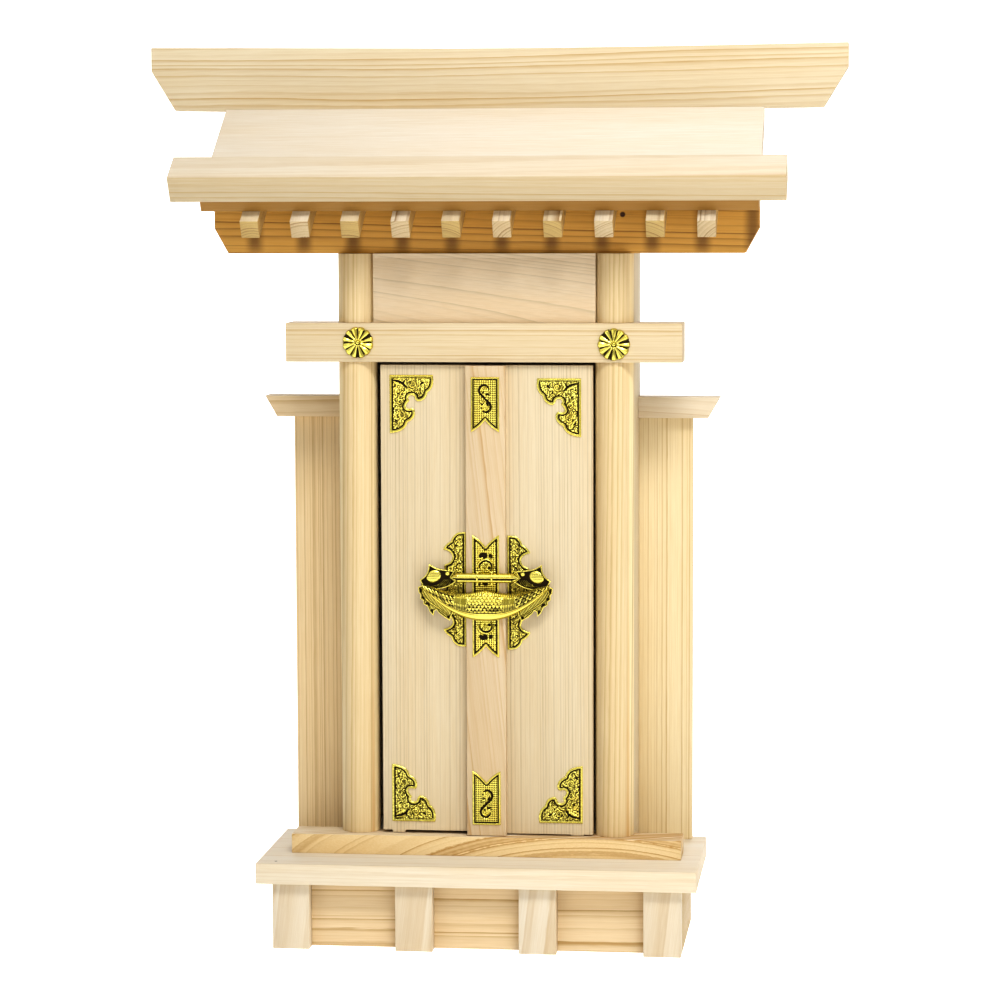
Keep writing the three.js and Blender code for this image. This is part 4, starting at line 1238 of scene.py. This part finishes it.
def shrimp_body():
    body, share = grid_sheet("shrimp_body", 340, 72)
    u = np.sin((share[:, 0] - 0.5) * np.pi)
    lower = -23.6 + 18.2 * u**2
    upper = -6.4 - 2.2 * np.sin(np.pi * np.minimum(1, np.abs(u) * 1.25)) + 3.2 * u**4
    tall = np.maximum(0.6, upper - lower)
    bulge = 1.4 + 4.2 * np.sqrt(1 - u**2)
    sheet_share = 1 - share[:, 1]
    knots = np.linspace(0, 1, 9)
    lean = np.interp(sheet_share, knots, (0, 0.52, 0.88, 0.99, 0.9, 0.66, 0.56, 0.34, 0))
    rise = np.interp(sheet_share, knots, (1, 0.98, 0.82, 0.56, 0.31, 0.19, 0.09, 0.015, 0))
    x = LOCK_REACH * u
    z = lower + tall * rise
    from_middle = np.abs(x)
    on_body = soft(rise, 0.27, 0.32)
    below_teeth = 1 - soft(rise, 0.86, 0.9)
    small, small_dark = scale_rows(x, z, 2.0, 1.6)
    bent = z - lower - 0.42 * tall
    long_scales, long_dark = scale_rows(bent + 0.3 * x, np.sign(x) * x - 0.55 * bent, 1.9, 2.1)
    ribs = 0.5 + 0.5 * np.cos(2 * np.pi * x / 0.92)
    teeth = 0.5 + 0.5 * np.cos(2 * np.pi * x / 1.15)
    to_ribs = soft(from_middle, 8.6, 10.4)
    to_long = soft(from_middle, 15.6, 17.4)
    raised = small * (1 - to_ribs) + ribs * 0.7 * to_ribs * (1 - to_long) + long_scales * 1.15 * to_long
    dark = small_dark * (1 - to_ribs) + 0.75 * (1 - soft(ribs, 0.15, 0.5)) * to_ribs * (1 - to_long)
    # Painted highlight and shade: the wash is thinned on the upper half of the body, and the rib band is
    # darkened on its lower half.
    dark = dark * (1 - 0.55 * soft(rise, 0.5, 0.72)) * (1 - to_long) + long_dark * to_long
    dark = np.where(to_ribs * (1 - to_long) > 0.5, np.maximum(dark, 0.42 * (1 - soft(rise, 0.42, 0.6))), dark)
    lift = 0.62 * raised * on_body * below_teeth + 0.3 * teeth * (1 - below_teeth) * (sheet_share > 0.06)
    line = 1 - soft(np.abs(rise - 0.275), 0.008, 0.026)
    dark = dark * on_body * below_teeth + 0.7 * (1 - soft(teeth, 0.1, 0.5)) * (1 - below_teeth)
    out = bulge * lean + lift * soft(lean, 0.3, 0.6) - 0.18 * line
    places = np.stack([LOCK_MIDDLE + x, LOCK_REAR - np.maximum(out, 0), LOCK_HEIGHT + z], 1)
    write_places(body, places)
    write_recess(body, np.maximum(dark, 0.7 * line) * soft(lean, 0.1, 0.3))
    fill_border(body)
    dress_brass(body)
    return mount(body, "shrimp_lock")


body = shrimp_body()
print(body.name, len(body.data.polygons), "faces")


# %% Lock heads and fins
def head_outline():
    """Beak to neck, round the crest, in distances from the lock's middle."""
    crest = [*bow((16.2, 3.6), (26.4, 4.8), -0.03, 6), (30.4, 7.0)]
    neck = bow((30.4, 6.9), (35.2, -1.6), -0.16, 8)
    throat = bow((33.2, -5.2), (15.6, -2.2), 0.14, 10)
    return np.array([*crest, *neck, *throat, (18.4, 0.0)])


def head_design(relief):
    """A black shield with a gold edge, a beaded oval boss, a ball eye and a lined cheek."""
    relief.height -= 0.1
    relief.darken(np.full(relief.x.shape, 0.97))
    for i in range(5):
        relief.stroke(bow((18.4 + 0.9 * i, -1.2), (21.6 + 1.8 * i, -5.2 + 0.1 * i), -0.12), 0.3, 0.16, 0.9)
    relief.stroke(bow((16.0, -1.7), (29.6, -5.3), -0.17, 14), 0.6, 0.32, 0.9)
    boss = relief.oval((27.7, 0.5), (3.9, 3.1), -24)
    inside = np.clip(1 - boss**2, 0, 1)
    beads = np.abs(np.cos(np.pi * relief.x / 0.9) * np.cos(np.pi * relief.z / 0.9))
    relief.height += 0.85 * np.sqrt(inside) + 0.14 * beads * (inside > 0.2)
    relief.dark = np.where(inside > 0, 0.6 * (1 - soft(beads, 0.06, 0.3)) * (inside > 0.2), relief.dark)
    relief.dome((20.2, 2.1), (1.35, 1.35), 0, 1.0, 0.9)
    relief.groove(bow((17.2, 1.9), (23.4, 2.3), 0.3), 0.4, 0.1, 1.0)
    relief.rim(0.62, 0.34, 0.2)


SPINES = [
    (33, -4.6), (36.2, -5.4), (35.9, -8.4), (34.9, -9.4), (35, -11.8), (33.4, -12.8), (33.4, -14.6),
    (31.2, -15.8), (29.9, -18.8), (28, -20.8), (27.6, -18.2), (26.2, -17.6), (25.2, -19.2),
    (22.4, -21.4), (19.2, -23.4), (18.6, -21.2), (17.6, -19.4), (18, -12), (28, -8),
]


def fin_design(relief):
    """Close parallel spines under a light line, with dark pockets between the outer points."""
    relief.height -= 0.12
    lean = relief.x * 0.94 + relief.z * 0.34
    ridges = 0.5 + 0.5 * np.cos(2 * np.pi * lean / 0.78)
    relief.height += 0.18 * ridges
    relief.darken(0.8 * (1 - soft(ridges, 0.2, 0.7)))
    relief.darken(np.full(relief.x.shape, 0.2))
    for at in ((34.9, -7.2), (33.6, -11.4), (31.0, -14.6), (28.4, -18.4), (24.0, -20.0), (19.8, -21.6)):
        relief.hollow(at, (0.85, 1.25), -35, 0.14, 1.0)
    border = [
        (34.0, -5.0), (33.9, -8.6), (32.0, -11.9), (29.3, -14.2),
        (26.6, -16.0), (22.6, -18.6), (19.0, -21.2),
    ]
    relief.stroke(border, 0.62, 0.34, 0.9)
    relief.rim(0.55, 0.3, 0.16)


def lock_sheet(name, outline, way, design_face, base):
    """A flat piece of the lock; way mirrors it to the left with -1."""
    turned = np.array(outline) * (way, 1)
    placed = turned + (LOCK_MIDDLE, LOCK_HEIGHT)
    local = np.array(outline, float)

    def design(x, z):
        relief = Relief((x - LOCK_MIDDLE) * way, z - LOCK_HEIGHT, local, 0.45)
        design_face(relief)
        return relief

    return mount(pressed_sheet(name, placed, LOCK_REAR, design, 0.18, base), "shrimp_lock")


lock_sheets = []
for side, way in (("left", -1), ("right", 1)):
    lock_sheets.append(lock_sheet(f"shrimp_fin_{side}", SPINES, way, fin_design, 0.5))
    lock_sheets.append(lock_sheet(f"shrimp_head_{side}", head_outline(), way, head_design, 1.3))
print(sum(len(piece.data.polygons) for piece in lock_sheets), "faces on the heads and fins")


# %% Lock bar and rings
BAR_AXIS = LOCK_REAR - 3.1
RING_ASIDE = 3.9


def lock_bar():
    """A round bar with drawn-out points and a folded seam, turned about the X axis. The seam is a real
    groove; its dark line, and the darkened lower side of the shoulders, are painted dark reflection.
    """
    reach, radius, point = 18.4, 2.6, 3.6
    bar, share = grid_sheet("shrimp_bar", 120, 40)
    x = (share[:, 0] * 2 - 1) * reach
    angle = 2 * np.pi * share[:, 1]
    width = radius * np.clip((reach - np.abs(x)) / point, 0.02, 1) ** 0.8
    shoulder = 1 - soft(np.abs(np.abs(x) - (reach - point)), 0.05, 0.5)
    width += 0.25 * shoulder
    seam_and_dark_reflection = 1 - soft(np.abs(angle - np.radians(193)), 0.17, 0.3)
    width -= 0.3 * seam_and_dark_reflection * (width > 1)
    y, z = BAR_AXIS + width * np.cos(angle), LOCK_HEIGHT + width * np.sin(angle)
    places = np.stack([LOCK_MIDDLE + x, y, z], 1)
    write_places(bar, places)
    # Painted dark reflection: the seam and the lower side of the shoulders are darkened; the seam's groove is
    # real.
    write_recess(bar, np.maximum(seam_and_dark_reflection, 0.8 * shoulder * soft(angle, 3.2, 3.6)) * (np.abs(x) < reach - 1.0))
    weld(bar)
    fill_border(bar)
    dress_brass(bar)
    return mount(bar, "shrimp_lock")


def bar_ring(name, offset):
    """A ring round the bar with a small knob above and below."""
    at = Vector((LOCK_MIDDLE + offset, BAR_AXIS, LOCK_HEIGHT)) * MM
    clear_bench()
    bpy.ops.mesh.primitive_torus_add(
        location=at, rotation=(0, math.pi / 2, 0), major_radius=2.55 * MM, minor_radius=0.5 * MM,
        major_segments=48, minor_segments=14)
    ring = bpy.context.object
    knobs = []
    for z in (-3.0, 3.0):
        clear_bench()
        bpy.ops.mesh.primitive_uv_sphere_add(segments=24, ring_count=12, radius=0.72 * MM,
                                             location=at + Vector((0, -1.0, z)) * MM)
        knobs.append(bpy.context.object)
    take(ring)
    for knob in knobs:
        knob.select_set(True)
    bpy.ops.object.join()
    ring.name = name
    settle(ring)
    places = read_places(ring)
    write_recess(ring, np.zeros(len(places)))
    dress_brass(ring, 60)
    return mount(ring, "shrimp_lock")


bar = lock_bar()
bar_rings = [bar_ring("shrimp_ring_left", -RING_ASIDE), bar_ring("shrimp_ring_right", RING_ASIDE)]
print(bar.name, "and", len(bar_rings), "rings")
